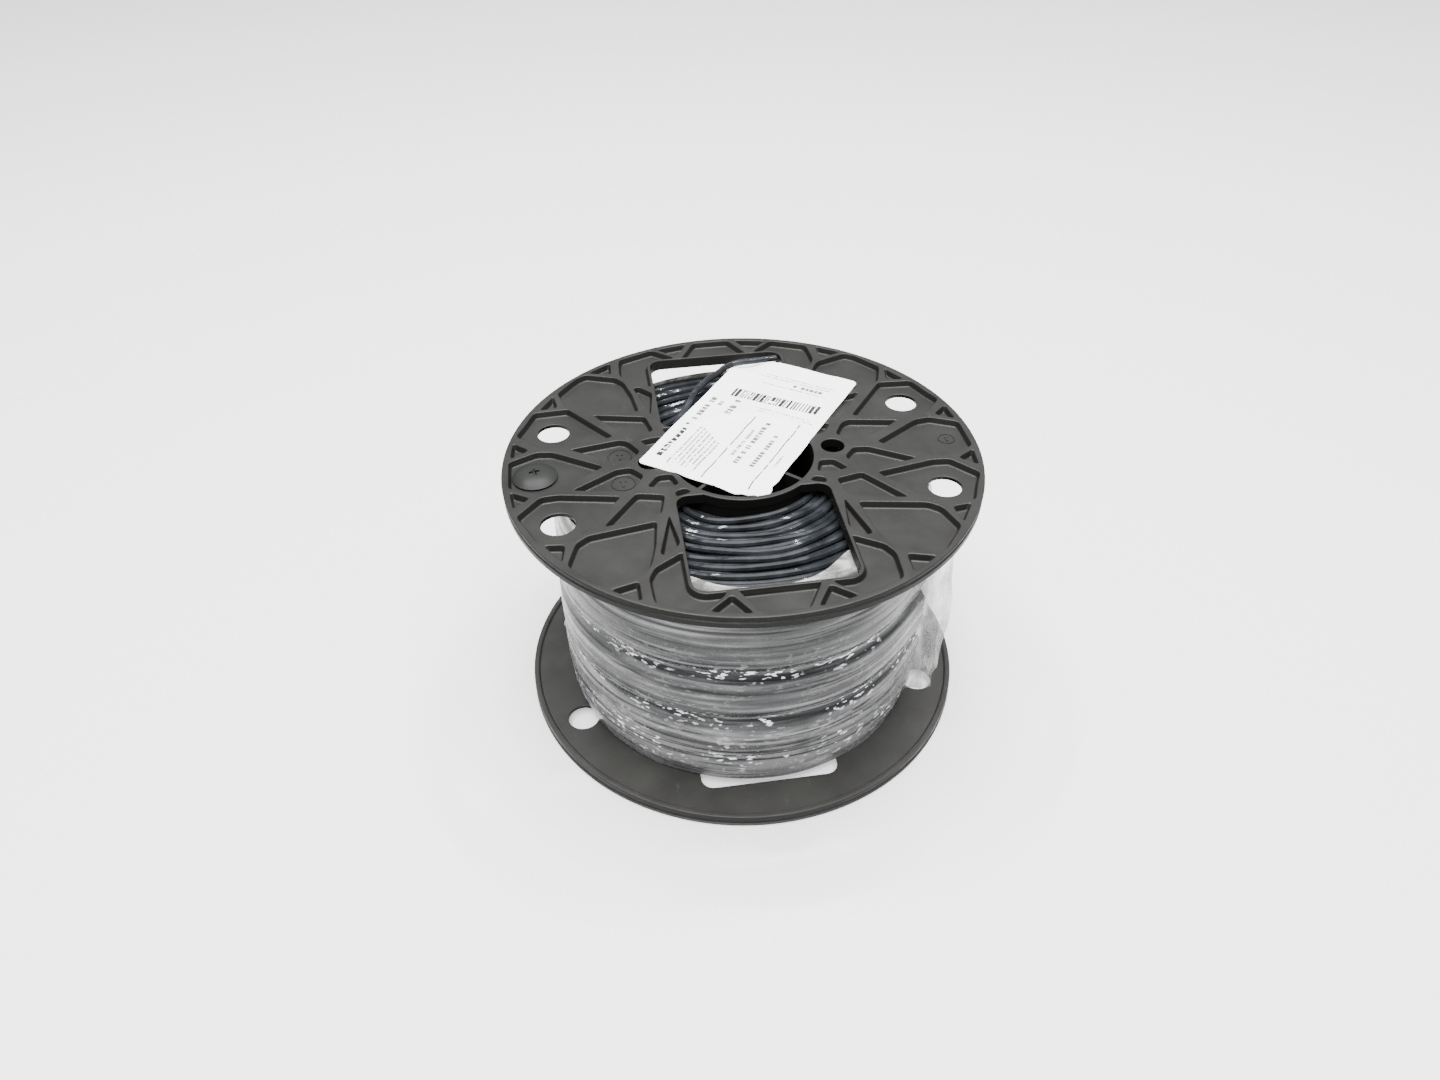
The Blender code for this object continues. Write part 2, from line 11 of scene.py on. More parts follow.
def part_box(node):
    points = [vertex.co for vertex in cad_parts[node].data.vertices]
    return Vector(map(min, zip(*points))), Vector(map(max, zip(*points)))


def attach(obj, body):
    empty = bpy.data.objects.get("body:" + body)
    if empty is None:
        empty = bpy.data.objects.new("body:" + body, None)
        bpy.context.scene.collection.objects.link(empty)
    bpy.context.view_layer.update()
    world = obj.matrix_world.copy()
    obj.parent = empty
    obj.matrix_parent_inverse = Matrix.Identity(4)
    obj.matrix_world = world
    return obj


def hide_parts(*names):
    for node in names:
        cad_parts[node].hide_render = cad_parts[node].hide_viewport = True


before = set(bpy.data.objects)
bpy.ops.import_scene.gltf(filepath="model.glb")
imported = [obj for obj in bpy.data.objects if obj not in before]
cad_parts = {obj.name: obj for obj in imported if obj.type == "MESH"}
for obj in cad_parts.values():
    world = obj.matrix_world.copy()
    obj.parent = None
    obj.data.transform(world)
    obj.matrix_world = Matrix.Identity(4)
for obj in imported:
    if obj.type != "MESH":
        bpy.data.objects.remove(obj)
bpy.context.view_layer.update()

MM = 0.001

# Sizes that the frame gives
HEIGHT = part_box("reel_half_top")[1][2]
FLANGE_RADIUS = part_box("reel_half_top")[1][0]
COIL_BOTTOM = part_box("wire_coil")[0][2]
COIL_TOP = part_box("wire_coil")[1][2]
HALF_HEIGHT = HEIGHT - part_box("reel_half_top")[0][2]

# Sizes of the reel's mouldings
SEAM_GAP = 0.3 * MM
FLANGE_THICKNESS = 3.7 * MM
RIM_ROUND = 0.5 * MM
RIM_GROOVE = 0.45 * MM
BEAD_HEIGHT = 0.9 * MM
BEAD_WIDTH = 2.0 * MM
BARREL_RADIUS = 26.2 * MM
BARREL_WALL = 1.5 * MM
ARBOR_BORE_RADIUS = 15.9 * MM
ARBOR_WALL = 1.6 * MM
SPOKE_THICKNESS = 1.3 * MM
SPOKE_INSET = 0.9 * MM
SPOKE_ANGLE = 44.0
LIP_WALL = 1.0 * MM
LIP_REACH = 4.0 * MM

WINDOW_HALF_WIDTH = 25.7 * MM
WINDOW_FAR = 68.5 * MM
WINDOW_FOOT = 21.0 * MM
WINDOW_CORNER = 4.5 * MM
WINDOW_FOOT_CORNER = 4.0 * MM
WINDOW_LEDGE = 0.4 * MM
# How far the windows' far and near-radial walls lean in, for the lower half and the upper half
WINDOW_LEAN = (1.9 * MM, 1.0 * MM)
WINDOW_SIDE_LEAN = (1.1 * MM, 0.3 * MM)
WINDOW_BORDER = 1.2 * MM
BORDER_SINK = 0.06 * MM
TIE_HOLE_RADIUS = 5.65 * MM
TIE_HOLE_CIRCLE = 69.7 * MM
TIE_HOLE_ANGLE = 22.5
DRIVE_HOLE_RADIUS = 4.05 * MM
DRIVE_HOLE_PLACE = 32.0 * MM

POCKET_DEPTH = 2.2 * MM
POCKET_DRAFT = 0.5 * MM
POCKET_CORNER = 1.6 * MM
RIB_ROUND = 0.45 * MM
FLOOR_ROUND = 0.7 * MM

# Outlines of the pockets in one quarter of a flange, in millimetres at the rib tops
QUARTER_POCKETS = (
    ((33, 33), (55.2, 37), (59, 40.2), (62, 50), (60.3, 52.5), (54.6, 59.8), (51, 62.2),
     (39.6, 58), (36.8, 54), (34.5, 45)),
    ((43.4, 18), (63.9, 13.9), (69.7, 14.4), (77.4, 23.6), (74.3, 29.9), (71, 37.8),
     (59, 38.5), (57.7, 37.2)),
    ((58.8, 12), (41.2, 15.2), (38.5, 13.7), (34.8, 7.2), (38.8, 2.2), (44, 2.7)),
    ((49.8, 33), (31, 28.8), (29, 19.4), (37.8, 17.3), (39.1, 18.4)),
    ((26.6, 49.5), (35.8, 55.5), (38, 60), (37.6, 69), (37, 71.5), (24, 77), (16.3, 70.5),
     (16.2, 66.5), (24, 60)),
    ((28.8, 30.5), (33.5, 49.2), (31.6, 50), (26.9, 45)),
    ((62.4, 40.4), (68.9, 39.6), (63.6, 48.3)),
    ((41.2, 61), (49.8, 63.5), (41, 69.5)),
    ((73, 14), (79.5, 10), (78.5, 19)),
    ((9.6, 79.8), (22.0, 77.2), (14.7, 71.2)),
    ((23.5, 13.9), (25.5, 8), (30.4, 8.2), (34.3, 13.8), (28, 15)),
    ((20, 18.9), (22, 16.7), (25.3, 18), (25.3, 20.8)),
)
# Outlines of the pockets that lie across the X axis and across the Y axis
SIDE_POCKET = ((48, 0), (65, 11.3), (70.5, 12.1), (80, 7.5), (80, -7.5), (70.5, -12.1), (65, -11.3))
END_POCKET = ((7, 80), (12.5, 69.5), (12.5, 66.5), (-12.5, 66.5), (-12.5, 69.5), (-7, 80))

# The camera, fitted to the outlines of both flanges in the photograph
CAMERA_PLACE = Vector((-50.4, -300.9, 308.9)) * MM
CAMERA_PITCH = 39.2256
CAMERA_HEADING = 8.0
CAMERA_ROLL = -0.7166
CAMERA_LENS = 26.70
SENSOR_WIDTH = 36.0

RING_SEGMENTS = 144
FILLET_STEPS = 4


# Shape helpers

def smooth_step(value):
    value = min(max(value, 0.0), 1.0)
    return value * value * (3 - 2 * value)


def new_object(name, data):
    made = bpy.data.objects.new(name, data)
    bpy.context.scene.collection.objects.link(made)
    return made


def make_piece(name, bm, material, smooth_angle=35.0):
    bmesh.ops.recalc_face_normals(bm, faces=bm.faces)
    mesh = bpy.data.meshes.new(name)
    bm.to_mesh(mesh)
    bm.free()
    mesh.shade_smooth()
    mesh.set_sharp_from_angle(angle=math.radians(smooth_angle))
    if material:
        mesh.materials.append(material)
    return new_object(name, mesh)


def circle(x, y, radius, segments):
    angles = [2 * math.pi * (i + 0.5) / segments for i in range(segments)]
    return [(x + radius * math.cos(a), y + radius * math.sin(a)) for a in angles]


def arc(x, y, radius, start, end, steps):
    angles = [math.radians(start + (end - start) * i / steps) for i in range(steps + 1)]
    return [(x + radius * math.cos(a), y + radius * math.sin(a)) for a in angles]


def counter_clockwise(outline):
    area = sum(outline[i - 1][0] * outline[i][1] - outline[i][0] * outline[i - 1][1]
               for i in range(len(outline)))
    return list(outline) if area > 0 else list(reversed(outline))


def offset(outline, distance):
    """A counter-clockwise outline moved inward by a distance, or outward by a negative one."""
    moved = []
    for i in range(len(outline)):
        before, here, after = (Vector(outline[j]) for j in (i - 1, i, (i + 1) % len(outline)))
        along_in = (here - before).normalized()
        along_out = (after - here).normalized()
        normal = Vector((-along_in.y - along_out.y, along_in.x + along_out.x)).normalized()
        half_turn = Vector((-along_in.y, along_in.x)).dot(normal)
        moved.append(tuple(here + normal * distance / max(half_turn, 0.3)))
    return moved


def rounded(outline, radius, steps):
    """An outline with each corner replaced by a curve of steps + 1 points."""
    points = []
    for i in range(len(outline)):
        before, here, after = (Vector(outline[j]) for j in (i - 1, i, (i + 1) % len(outline)))
        reach_in = min(radius, (before - here).length * 0.42)
        reach_out = min(radius, (after - here).length * 0.42)
        start = here + (before - here).normalized() * reach_in
        end = here + (after - here).normalized() * reach_out
        for k in range(steps + 1):
            t = k / steps
            points.append(tuple(start * (1 - t) ** 2 + here * 2 * t * (1 - t) + end * t ** 2))
    return points


def loop_of(bm, outline, height):
    return [bm.verts.new((x, y, height)) for x, y in outline]


def bridge(bm, low, high):
    for i in range(len(low)):
        bm.faces.new((low[i - 1], low[i], high[i], high[i - 1]))


def join_loops(bm, loops, closed=False, capped=False):
    """Faces from each loop to the next, back to the first if closed, over both ends if capped."""
    for i in range(0 if closed else 1, len(loops)):
        bridge(bm, loops[i - 1], loops[i])
    if capped:
        bm.faces.new(loops[0])
        bm.faces.new(loops[-1])


def turned_loops(bm, profile, segments, x=0.0, y=0.0):
    return [loop_of(bm, circle(x, y, radius, segments), height) for radius, height in profile]


def add_sheet(bm, rows, columns, point_at, lifts):
    """Adds a thin closed sheet between the two grids that point_at(row, column, lift) gives."""
    low, high = [[[bm.verts.new(point_at(i, k, lift)) for k in range(columns)]
                  for i in range(rows)] for lift in lifts]
    last_row, last = rows - 1, columns - 1
    for grid in (low, high):
        for i in range(last_row):
            for k in range(last):
                bm.faces.new((grid[i][k], grid[i + 1][k], grid[i + 1][k + 1], grid[i][k + 1]))
    border = [(i, 0) for i in range(last_row)] + [(last_row, k) for k in range(last)]
    border += [(i, last) for i in range(last_row, 0, -1)] + [(0, k) for k in range(last, 0, -1)]
    for here, after in zip(border, border[1:] + border[:1]):
        bm.faces.new((low[here[0]][here[1]], low[after[0]][after[1]],
                      high[after[0]][after[1]], high[here[0]][here[1]]))


def fillet(radius, steps=FILLET_STEPS):
    """Pairs of (way along, way down) on a quarter circle, from flat to upright."""
    angles = [math.pi / 2 * k / steps for k in range(steps + 1)]
    return [(radius * math.sin(a), radius * (1 - math.cos(a))) for a in angles]


# The reel's mouldings

def all_pocket_outlines():
    outlines = []
    for outline in QUARTER_POCKETS:
        for side in (1, -1):
            for end in (1, -1):
                outlines.append([(x * side * MM, y * end * MM) for x, y in outline])
    for way in (1, -1):
        outlines.append([(x * way * MM, y * MM) for x, y in SIDE_POCKET])
        outlines.append([(x * MM, y * way * MM) for x, y in END_POCKET])
    return [counter_clockwise(outline) for outline in outlines]


def pocket_profile():
    """Pairs of (way in from the pocket's edge, depth) from the rib top to the floor."""
    profile = [(along - RIB_ROUND, down) for along, down in fillet(RIB_ROUND)]
    for along, down in reversed(fillet(FLOOR_ROUND)):
        profile.append((POCKET_DRAFT + FLOOR_ROUND - along, POCKET_DEPTH - down))
    return profile


def add_pocket(bm, outline):
    """Adds a pocket's walls and floor, and gives the loop that lies on the rib tops."""
    loops = []
    for inward, depth in pocket_profile():
        reach = max(POCKET_CORNER - inward, 0.35 * MM)
        loops.append(loop_of(bm, rounded(offset(outline, inward), reach, 4), depth))
    join_loops(bm, loops)
    bm.faces.new(loops[-1])
    return loops[0]


def half_profile(with_lip):
    """The turned outline of a half, from the barrel's inner edge over the rim and back."""
    inner = BARREL_RADIUS - BARREL_WALL
    rim = FLANGE_RADIUS
    edge = RIM_ROUND
    face = FLANGE_THICKNESS
    soft = 0.3 * MM
    outer = [(rim - edge + along, down) for along, down in fillet(edge)]
    outer += [(rim, 0.75 * MM), (rim - RIM_GROOVE, 1.1 * MM), (rim - RIM_GROOVE, 2.2 * MM),
              (rim - 0.1 * MM, 2.6 * MM)]
    bead = face + BEAD_HEIGHT
    outer += [(rim - 0.1 * MM - down, bead - RIM_ROUND + along)
              for along, down in fillet(RIM_ROUND)]
    outer += [(rim - BEAD_WIDTH + 0.3 * MM, bead), (rim - BEAD_WIDTH, bead - 0.15 * MM),
              (rim - BEAD_WIDTH - 0.5 * MM, face)]
    root = [(BARREL_RADIUS + down, face + soft - along)
            for along, down in reversed(fillet(soft, 3))]
    tail = [(BARREL_RADIUS, HALF_HEIGHT)]
    if with_lip:
        lip_outer = inner - SEAM_GAP
        tail += [(lip_outer, HALF_HEIGHT), (lip_outer, HALF_HEIGHT + LIP_REACH),
                 (lip_outer - LIP_WALL, HALF_HEIGHT + LIP_REACH),
                 (lip_outer - LIP_WALL, HALF_HEIGHT - LIP_REACH),
                 (inner, HALF_HEIGHT - LIP_REACH - LIP_WALL)]
    else:
        tail.append((inner, HALF_HEIGHT))
    mouth = [(inner + soft - along, down) for along, down in reversed(fillet(soft, 3))]
    return outer + root + tail + mouth


def flange_body(with_lip):
    """A flange with its pockets and its half of the barrel, as one closed mesh."""
    bm = bmesh.new()
    rings = turned_loops(bm, half_profile(with_lip), RING_SEGMENTS)
    join_loops(bm, rings)
    edges = set()
    borders = [rings[0], rings[-1]]
    for outline in all_pocket_outlines():
        borders.append(add_pocket(bm, outline))
    for border in borders:
        for i in range(len(border)):
            edge = bm.edges.get((border[i - 1], border[i])) or bm.edges.new((border[i - 1], border[i]))
            edges.add(edge)
    bmesh.ops.triangle_fill(bm, use_beauty=True, edges=list(edges), normal=(0, 0, -1))
    return bm


def window_outline(height=0.0, upper=True):
    """The window on +Y, whose inner side follows the barrel and whose far side leans in."""
    side = WINDOW_HALF_WIDTH - WINDOW_SIDE_LEAN[upper] * height / FLANGE_THICKNESS
    far = WINDOW_FAR - WINDOW_LEAN[upper] * height / FLANGE_THICKNESS
    ledge = BARREL_RADIUS + WINDOW_LEDGE
    foot_angle = math.degrees(math.asin(WINDOW_FOOT / ledge))
    outline = arc(0, 0, ledge, 180 - foot_angle, foot_angle, 24)
    for way in (1, -1):
        foot_corner = arc(way * (side - WINDOW_FOOT_CORNER), WINDOW_FOOT + WINDOW_FOOT_CORNER,
                          WINDOW_FOOT_CORNER, -90, -90 + way * 90, 6)
        far_corner = arc(way * (side - WINDOW_CORNER), far - WINDOW_CORNER,
                         WINDOW_CORNER, 90 - way * 90, 90, 6)
        outline += foot_corner + far_corner if way == 1 else far_corner[::-1] + foot_corner[::-1]
    return outline


def add_cut(bm, outline, mouth_height, inner_outline=None):
    """Adds a cutter whose mouth flares at a height, so that the cut's edge is rounded."""
    inner_outline = counter_clockwise(inner_outline or outline)
    outline = counter_clockwise(outline)
    over = 1.5 * MM
    soft = 0.4 * MM
    loops = [loop_of(bm, offset(outline, -soft), mouth_height - over)]
    for along, down in fillet(soft):
        loops.append(loop_of(bm, offset(outline, along - soft), mouth_height + down))
    for along, down in reversed(fillet(soft, 3)):
        loops.append(loop_of(bm, offset(inner_outline, along - soft), FLANGE_THICKNESS - down))
    loops.append(loop_of(bm, offset(inner_outline, -soft), FLANGE_THICKNESS + over))
    join_loops(bm, loops, capped=True)


def window_borders():
    """Blocks with rounded edges that fill the pockets again in a border around each window."""
    bm = bmesh.new()
    border = offset(window_outline(), -WINDOW_BORDER)
    for way in (1, -1):
        outline = counter_clockwise([(x, y * way) for x, y in border])
        loops = []
        for along, down in fillet(RIB_ROUND):
            loops.append(loop_of(bm, offset(outline, RIB_ROUND - along), BORDER_SINK + down))
        foot = POCKET_DEPTH + 0.02 * MM
        for along, down in reversed(fillet(FLOOR_ROUND)):
            spread = POCKET_DRAFT + FLOOR_ROUND - along
            loops.append(loop_of(bm, offset(outline, -spread), foot - down))
        loops.append(loop_of(bm, offset(outline, -POCKET_DRAFT), foot + 0.5 * MM))
        join_loops(bm, loops, capped=True)
    return bm


def openings_cutter(upper):
    bm = bmesh.new()
    for way in (1, -1):
        add_cut(bm, [(x, y * way) for x, y in window_outline()], 0.0,
                [(x, y * way) for x, y in window_outline(FLANGE_THICKNESS, upper)])
        add_cut(bm, circle(way * DRIVE_HOLE_PLACE, 0, DRIVE_HOLE_RADIUS, 40), 0.0)
    for turn in (TIE_HOLE_ANGLE, -TIE_HOLE_ANGLE, 180 - TIE_HOLE_ANGLE, 180 + TIE_HOLE_ANGLE):
        angle = math.radians(turn)
        add_cut(bm, circle(TIE_HOLE_CIRCLE * math.cos(angle), TIE_HOLE_CIRCLE * math.sin(angle),
                           TIE_HOLE_RADIUS, 48), POCKET_DEPTH)
    if upper:
        add_cut(bm, circle(PLUG_PLACE.x, 0, PLUG_SHANK_RADIUS + SEAM_GAP, 24), POCKET_DEPTH)
    return bm


def arbor_tube():
    outer = ARBOR_BORE_RADIUS + ARBOR_WALL
    soft = 0.3 * MM
    profile = [(ARBOR_BORE_RADIUS + soft - along, down) for along, down in fillet(soft, 3)]
    profile = profile[::-1] + [(outer - soft + along, down) for along, down in fillet(soft, 3)]
    profile += [(outer, HALF_HEIGHT), (ARBOR_BORE_RADIUS, HALF_HEIGHT)]
    bm = bmesh.new()
    join_loops(bm, turned_loops(bm, profile, 96), closed=True)
    return bm


def spokes(low, high):
    bm = bmesh.new()
    start = ARBOR_BORE_RADIUS + ARBOR_WALL / 2
    end = BARREL_RADIUS - BARREL_WALL / 2
    for turn in (SPOKE_ANGLE, -SPOKE_ANGLE, 180 - SPOKE_ANGLE, 180 + SPOKE_ANGLE):
        made = bmesh.ops.create_cube(bm, size=1.0)["verts"]
        bmesh.ops.scale(bm, vec=(end - start, SPOKE_THICKNESS, high - low), verts=made)
        bmesh.ops.translate(bm, vec=((start + end) / 2, 0, (low + high) / 2), verts=made)
        bmesh.ops.rotate(bm, cent=(0, 0, 0), verts=made,
                         matrix=Matrix.Rotation(math.radians(turn), 3, "Z"))
    return bm


def combined(body, *steps):
    """Applies Booleans in turn and leaves one plain mesh object."""
    tools = []
    for operation, tool_bm in steps:
        tool = make_piece("tool", tool_bm, None)
        tools.append(tool)
        modifier = body.modifiers.new("cut", "BOOLEAN")
        modifier.operation = operation
        modifier.object = tool
        modifier.solver = "EXACT"
    graph = bpy.context.evaluated_depsgraph_get()
    mesh = bpy.data.meshes.new_from_object(body.evaluated_get(graph))
    body.modifiers.clear()
    body.data = mesh
    for tool in tools:
        bpy.data.objects.remove(tool)
    return body


def reel_half(name, node, upper, material):
    body = make_piece(name, flange_body(with_lip=not upper), material)
    spoke_top = HALF_HEIGHT - LIP_REACH - LIP_WALL - SEAM_GAP if upper else HALF_HEIGHT
    combined(body, ("UNION", arbor_tube()), ("UNION", spokes(SPOKE_INSET, spoke_top)),
             ("UNION", window_borders()), ("DIFFERENCE", openings_cutter(upper)))
    if upper:
        body.data.transform(Matrix.Translation((0, 0, HEIGHT)) @ Matrix.Rotation(math.pi, 4, "X"))
    body.data.shade_smooth()
    body.data.set_sharp_from_angle(angle=math.radians(32))
    weighted = body.modifiers.new("normals", "WEIGHTED_NORMAL")
    weighted.keep_sharp = True
    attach(body, "root")
    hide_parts(node)
    return body


# The plug in the upper flange

PLUG_PLACE = Vector((-71.3, 0, 0)) * MM
PLUG_HEAD_RADIUS = 7.7 * MM
PLUG_EDGE_HEIGHT = 0.5 * MM
PLUG_HEAD_HEIGHT = 2.6 * MM
PLUG_SEAT_SINK = 0.15 * MM
PLUG_SHANK_RADIUS = 3.0 * MM
PLUG_SHANK_REACH = 0.8 * MM
PLUG_SLOT_LENGTH = 3.6 * MM
PLUG_SLOT_WIDTH = 1.0 * MM
PLUG_SLOT_DEPTH = 1.0 * MM


def flange_plug(material):
    """The domed plug, its dome turned and its cross slot cut with sloping sides."""
    seat = HEIGHT - POCKET_DEPTH - PLUG_SEAT_SINK + SEAM_GAP
    soft = 0.25 * MM
    foot_height = HEIGHT - FLANGE_THICKNESS - PLUG_SHANK_REACH
    profile = [(0, foot_height), (PLUG_SHANK_RADIUS, foot_height), (PLUG_SHANK_RADIUS, seat),
               (PLUG_HEAD_RADIUS - soft, seat), (PLUG_HEAD_RADIUS, seat + soft)]
    rise = PLUG_HEAD_HEIGHT - PLUG_EDGE_HEIGHT
    for k in range(13):
        share = 1 - k / 12
        profile.append((PLUG_HEAD_RADIUS * share,
                        seat + PLUG_EDGE_HEIGHT + rise * (1 - share ** 2.6)))
    bm = bmesh.new()
    foot = bm.verts.new((PLUG_PLACE.x, 0, profile[0][1]))
    crown = bm.verts.new((PLUG_PLACE.x, 0, profile[-1][1]))
    rings = turned_loops(bm, profile[1:-1], 64, PLUG_PLACE.x)
    join_loops(bm, rings)
    for i in range(64):
        bm.faces.new((foot, rings[0][i], rings[0][i - 1]))
        bm.faces.new((crown, rings[-1][i - 1], rings[-1][i]))
    body = make_piece("plug_with_cross_slot", bm, material)
    cut = bmesh.new()
    top = seat + PLUG_HEAD_HEIGHT + 1 * MM
    floor = seat + PLUG_HEAD_HEIGHT - PLUG_SLOT_DEPTH
    loops = []
    for height, spread in ((floor, -0.25 * MM), (seat + PLUG_HEAD_HEIGHT - 0.2 * MM, 0.0),
                           (top, 0.3 * MM)):
        arm = PLUG_SLOT_LENGTH / 2 + spread * 2.5
        half = PLUG_SLOT_WIDTH / 2 + spread
        outline = []
        for turn in range(4):
            quarter = Matrix.Rotation(math.radians(90 * turn + 12), 2)
            for corner in ((arm, -half), (arm, half), (half, half)):
                x, y = quarter @ Vector(corner)
                outline.append((x + PLUG_PLACE.x, y))
        loops.append(loop_of(cut, outline, height))
    join_loops(cut, loops, capped=True)
    combined(body, ("DIFFERENCE", cut))
    bevel = body.modifiers.new("edges", "BEVEL")
    bevel.width = 0.12 * MM
    bevel.segments = 2
    bevel.limit_method = "ANGLE"
    bevel.angle_limit = math.radians(40)
    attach(body, "root")
    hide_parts("flange_plug")
    return body


# Materials

def new_material(name, colour, roughness, metallic=0.0, specular=0.5):
    material = bpy.data.materials.new(name)
    material.use_nodes = True
    inputs = material.node_tree.nodes["Principled BSDF"].inputs
    inputs["Base Color"].default_value = (*colour, 1.0)
    inputs["Roughness"].default_value = roughness
    inputs["Metallic"].default_value = metallic
    inputs["Specular IOR Level"].default_value = specular
    return material


# Painted shade on the film, by height from 0 at the flange to 1: a contact shadow along its foot and
# dark bands in its grooves
PAINTED_SHADE_STOPS = (
    (0.0, 0.9), (0.014, 0.1), (0.303, 0), (0.311, 1), (0.33, 1), (0.34, 0.1), (0.45, 0),
    (0.46, 0.9), (0.466, 0.9), (0.474, 0), (0.502, 0), (0.512, 1), (0.532, 1), (0.545, 0.1),
    (0.6, 0),
)
# Where the film's creases carry painted highlights, by height in the same way
PAINTED_GLINT_STOPS = (
    (0.05, 0), (0.1, 0.7), (0.13, 1), (0.18, 1), (0.21, 0.2), (0.29, 0.1), (0.31, 0.9),
    (0.345, 1), (0.365, 0.1), (0.5, 0.05), (0.52, 0.8), (0.55, 1), (0.57, 0.1), (0.7, 0),
)
# The heights that are 0 and 1 in the two lists above
FILM_SPAN = (7.1 * MM, 107.1 * MM)


class Nodes:
    """Short calls for the nodes of one material."""

    def __init__(self, material):
        self.tree = material.node_tree
        self.shader = self.tree.nodes["Principled BSDF"]
        coordinates = self.tree.nodes.new("ShaderNodeTexCoord")
        self.place = coordinates.outputs["Object"]
        self.normal = coordinates.outputs["Normal"]

    def add(self, kind, inputs, **settings):
        """Adds a node with its settings, and sets or links its inputs."""
        node = self.tree.nodes.new("ShaderNode" + kind)
        for name, value in settings.items():
            setattr(node, name, value)
        for name, value in inputs.items():
            socket = node.inputs[name]
            if isinstance(value, (int, float)):
                socket.default_value = value
            elif isinstance(value, tuple):
                socket.default_value = (*value, 1.0)
            else:
                self.tree.links.new(value, socket)
        return node

    def feed(self, socket, source):
        """Links a value to one of the shader's own sockets."""
        self.tree.links.new(source, self.shader.inputs[socket])

    def scaled(self, scale):
        mapping = self.add("Mapping", {"Vector": self.place})
        mapping.inputs["Scale"].default_value = scale
        return mapping.outputs["Vector"]

    def axis(self, index, source=None):
        return self.add("SeparateXYZ", {0: source or self.place}).outputs[index]

    def noise(self, scale, detail=3.0, roughness=0.5):
        """Noise at one scale per metre, or at three along X, Y and Z."""
        place = self.place
        if isinstance(scale, tuple):
            place = self.scaled(scale)
            scale = 1.0
        inputs = {"Scale": scale, "Detail": detail, "Roughness": roughness, "Vector": place}
        return self.add("TexNoise", inputs).outputs["Fac"]

    def ramp(self, source, *stops):
        """A colour ramp, whose stops are a position and a colour or a grey level."""
        ramp = self.add("ValToRGB", {"Fac": source})
        elements = ramp.color_ramp.elements
        while len(elements) < len(stops):
            elements.new(0.5)
        for element, (position, colour) in zip(elements, stops):
            element.position = position
            element.color = (*(colour if isinstance(colour, tuple) else (colour,) * 3), 1.0)
        return ramp.outputs["Color"]

    def span(self, source, low, high, from_low=0.0, from_high=1.0):
        inputs = {"Value": source, "From Min": from_low, "From Max": from_high, "To Min": low,
                  "To Max": high}
        return self.add("MapRange", inputs).outputs["Result"]

    def math(self, operation, first, second):
        return self.add("Math", {0: first, 1: second}, operation=operation).outputs["Value"]

    def times(self, first, second):
        return self.math("MULTIPLY", first, second)

    def total(self, first, *others):
        for other in others:
            first = self.math("ADD", first, other)
        return first

    def mixed(self, share, first, second):
        return self.add("Mix", {0: share, 6: first, 7: second}, data_type="RGBA").outputs[2]

    def bump(self, height, strength, distance, normal=None):
        inputs = {"Strength": strength, "Distance": distance, "Height": height}
        if normal:
            inputs["Normal"] = normal
        return self.add("Bump", inputs).outputs["Normal"]


def moulded_plastic(name, dark, light, roughness):
    """Matt moulded plastic, scuffed paler where it lies level, with painted shade on its walls: a
    darker colour wherever it faces sideways.
    """
    material = new_material(name, dark, roughness, specular=0.3)
    n = Nodes(material)
    mottled = n.ramp(n.noise(55, 5), (0.3, dark), (0.7, light))
    scuffs = n.ramp(n.noise((260, 90, 140), 8, 0.7), (0.62, 0), (0.72, 1))
    specks = n.ramp(n.noise(900, 2), (0.74, 0), (0.8, 1))
    pale = tuple(c * 2.6 for c in light)
    colour = n.mixed(n.times(scuffs, 0.25), mottled, pale)
    colour = n.mixed(n.times(specks, 0.5), colour, pale)
    # Painted shade: faces that turn sideways take a darker colour than those that face up or down.
    level = n.ramp(n.math("ABSOLUTE", n.axis(2, n.normal), 0.0), (0.2, 0), (0.75, 1))
    painted_wall_shade = tuple(c * 0.4 for c in dark)
    n.feed("Base Color", n.mixed(level, painted_wall_shade, colour))
    n.feed("Specular IOR Level", n.span(level, 0.08, 0.25))
    n.feed("Roughness", n.span(n.noise(120, 4), roughness - 0.07, roughness + 0.1, 0.3, 0.7))
    grain = n.bump(n.noise(2600, 2), 0.25, 0.05 * MM)
    n.feed("Normal", n.bump(n.noise(90, 3), 0.25, 0.25 * MM, grain))
    return material


def wire_jacket():
    """Glossy nylon over dark insulation, uneven from the strands' lay, with bright dashes."""
    material = new_material("wire_jacket", (0.035, 0.042, 0.05), 0.12, specular=0.13)
    n = Nodes(material)
    n.feed("Base Color", n.ramp(n.noise(140, 3), (0.3, (0.01, 0.0112, 0.0125)),
                                (0.5, (0.018, 0.02, 0.0225)), (0.75, (0.034, 0.037, 0.043))))
    n.feed("Roughness", n.span(n.noise(420, 3), 0.06, 0.14, 0.35, 0.7))
    dashes = n.ramp(n.noise((130, 420, 420), 1), (0.51, 0), (0.56, 1))
    crest = n.ramp(n.axis(2, n.normal), (0.925, 0), (0.965, 1))
    n.feed("Specular IOR Level", n.span(n.times(dashes, crest), 0.11, 1.0))
    n.feed("Normal", n.bump(n.noise((90, 240, 240), 1), 0.6, 0.8 * MM))
    return material


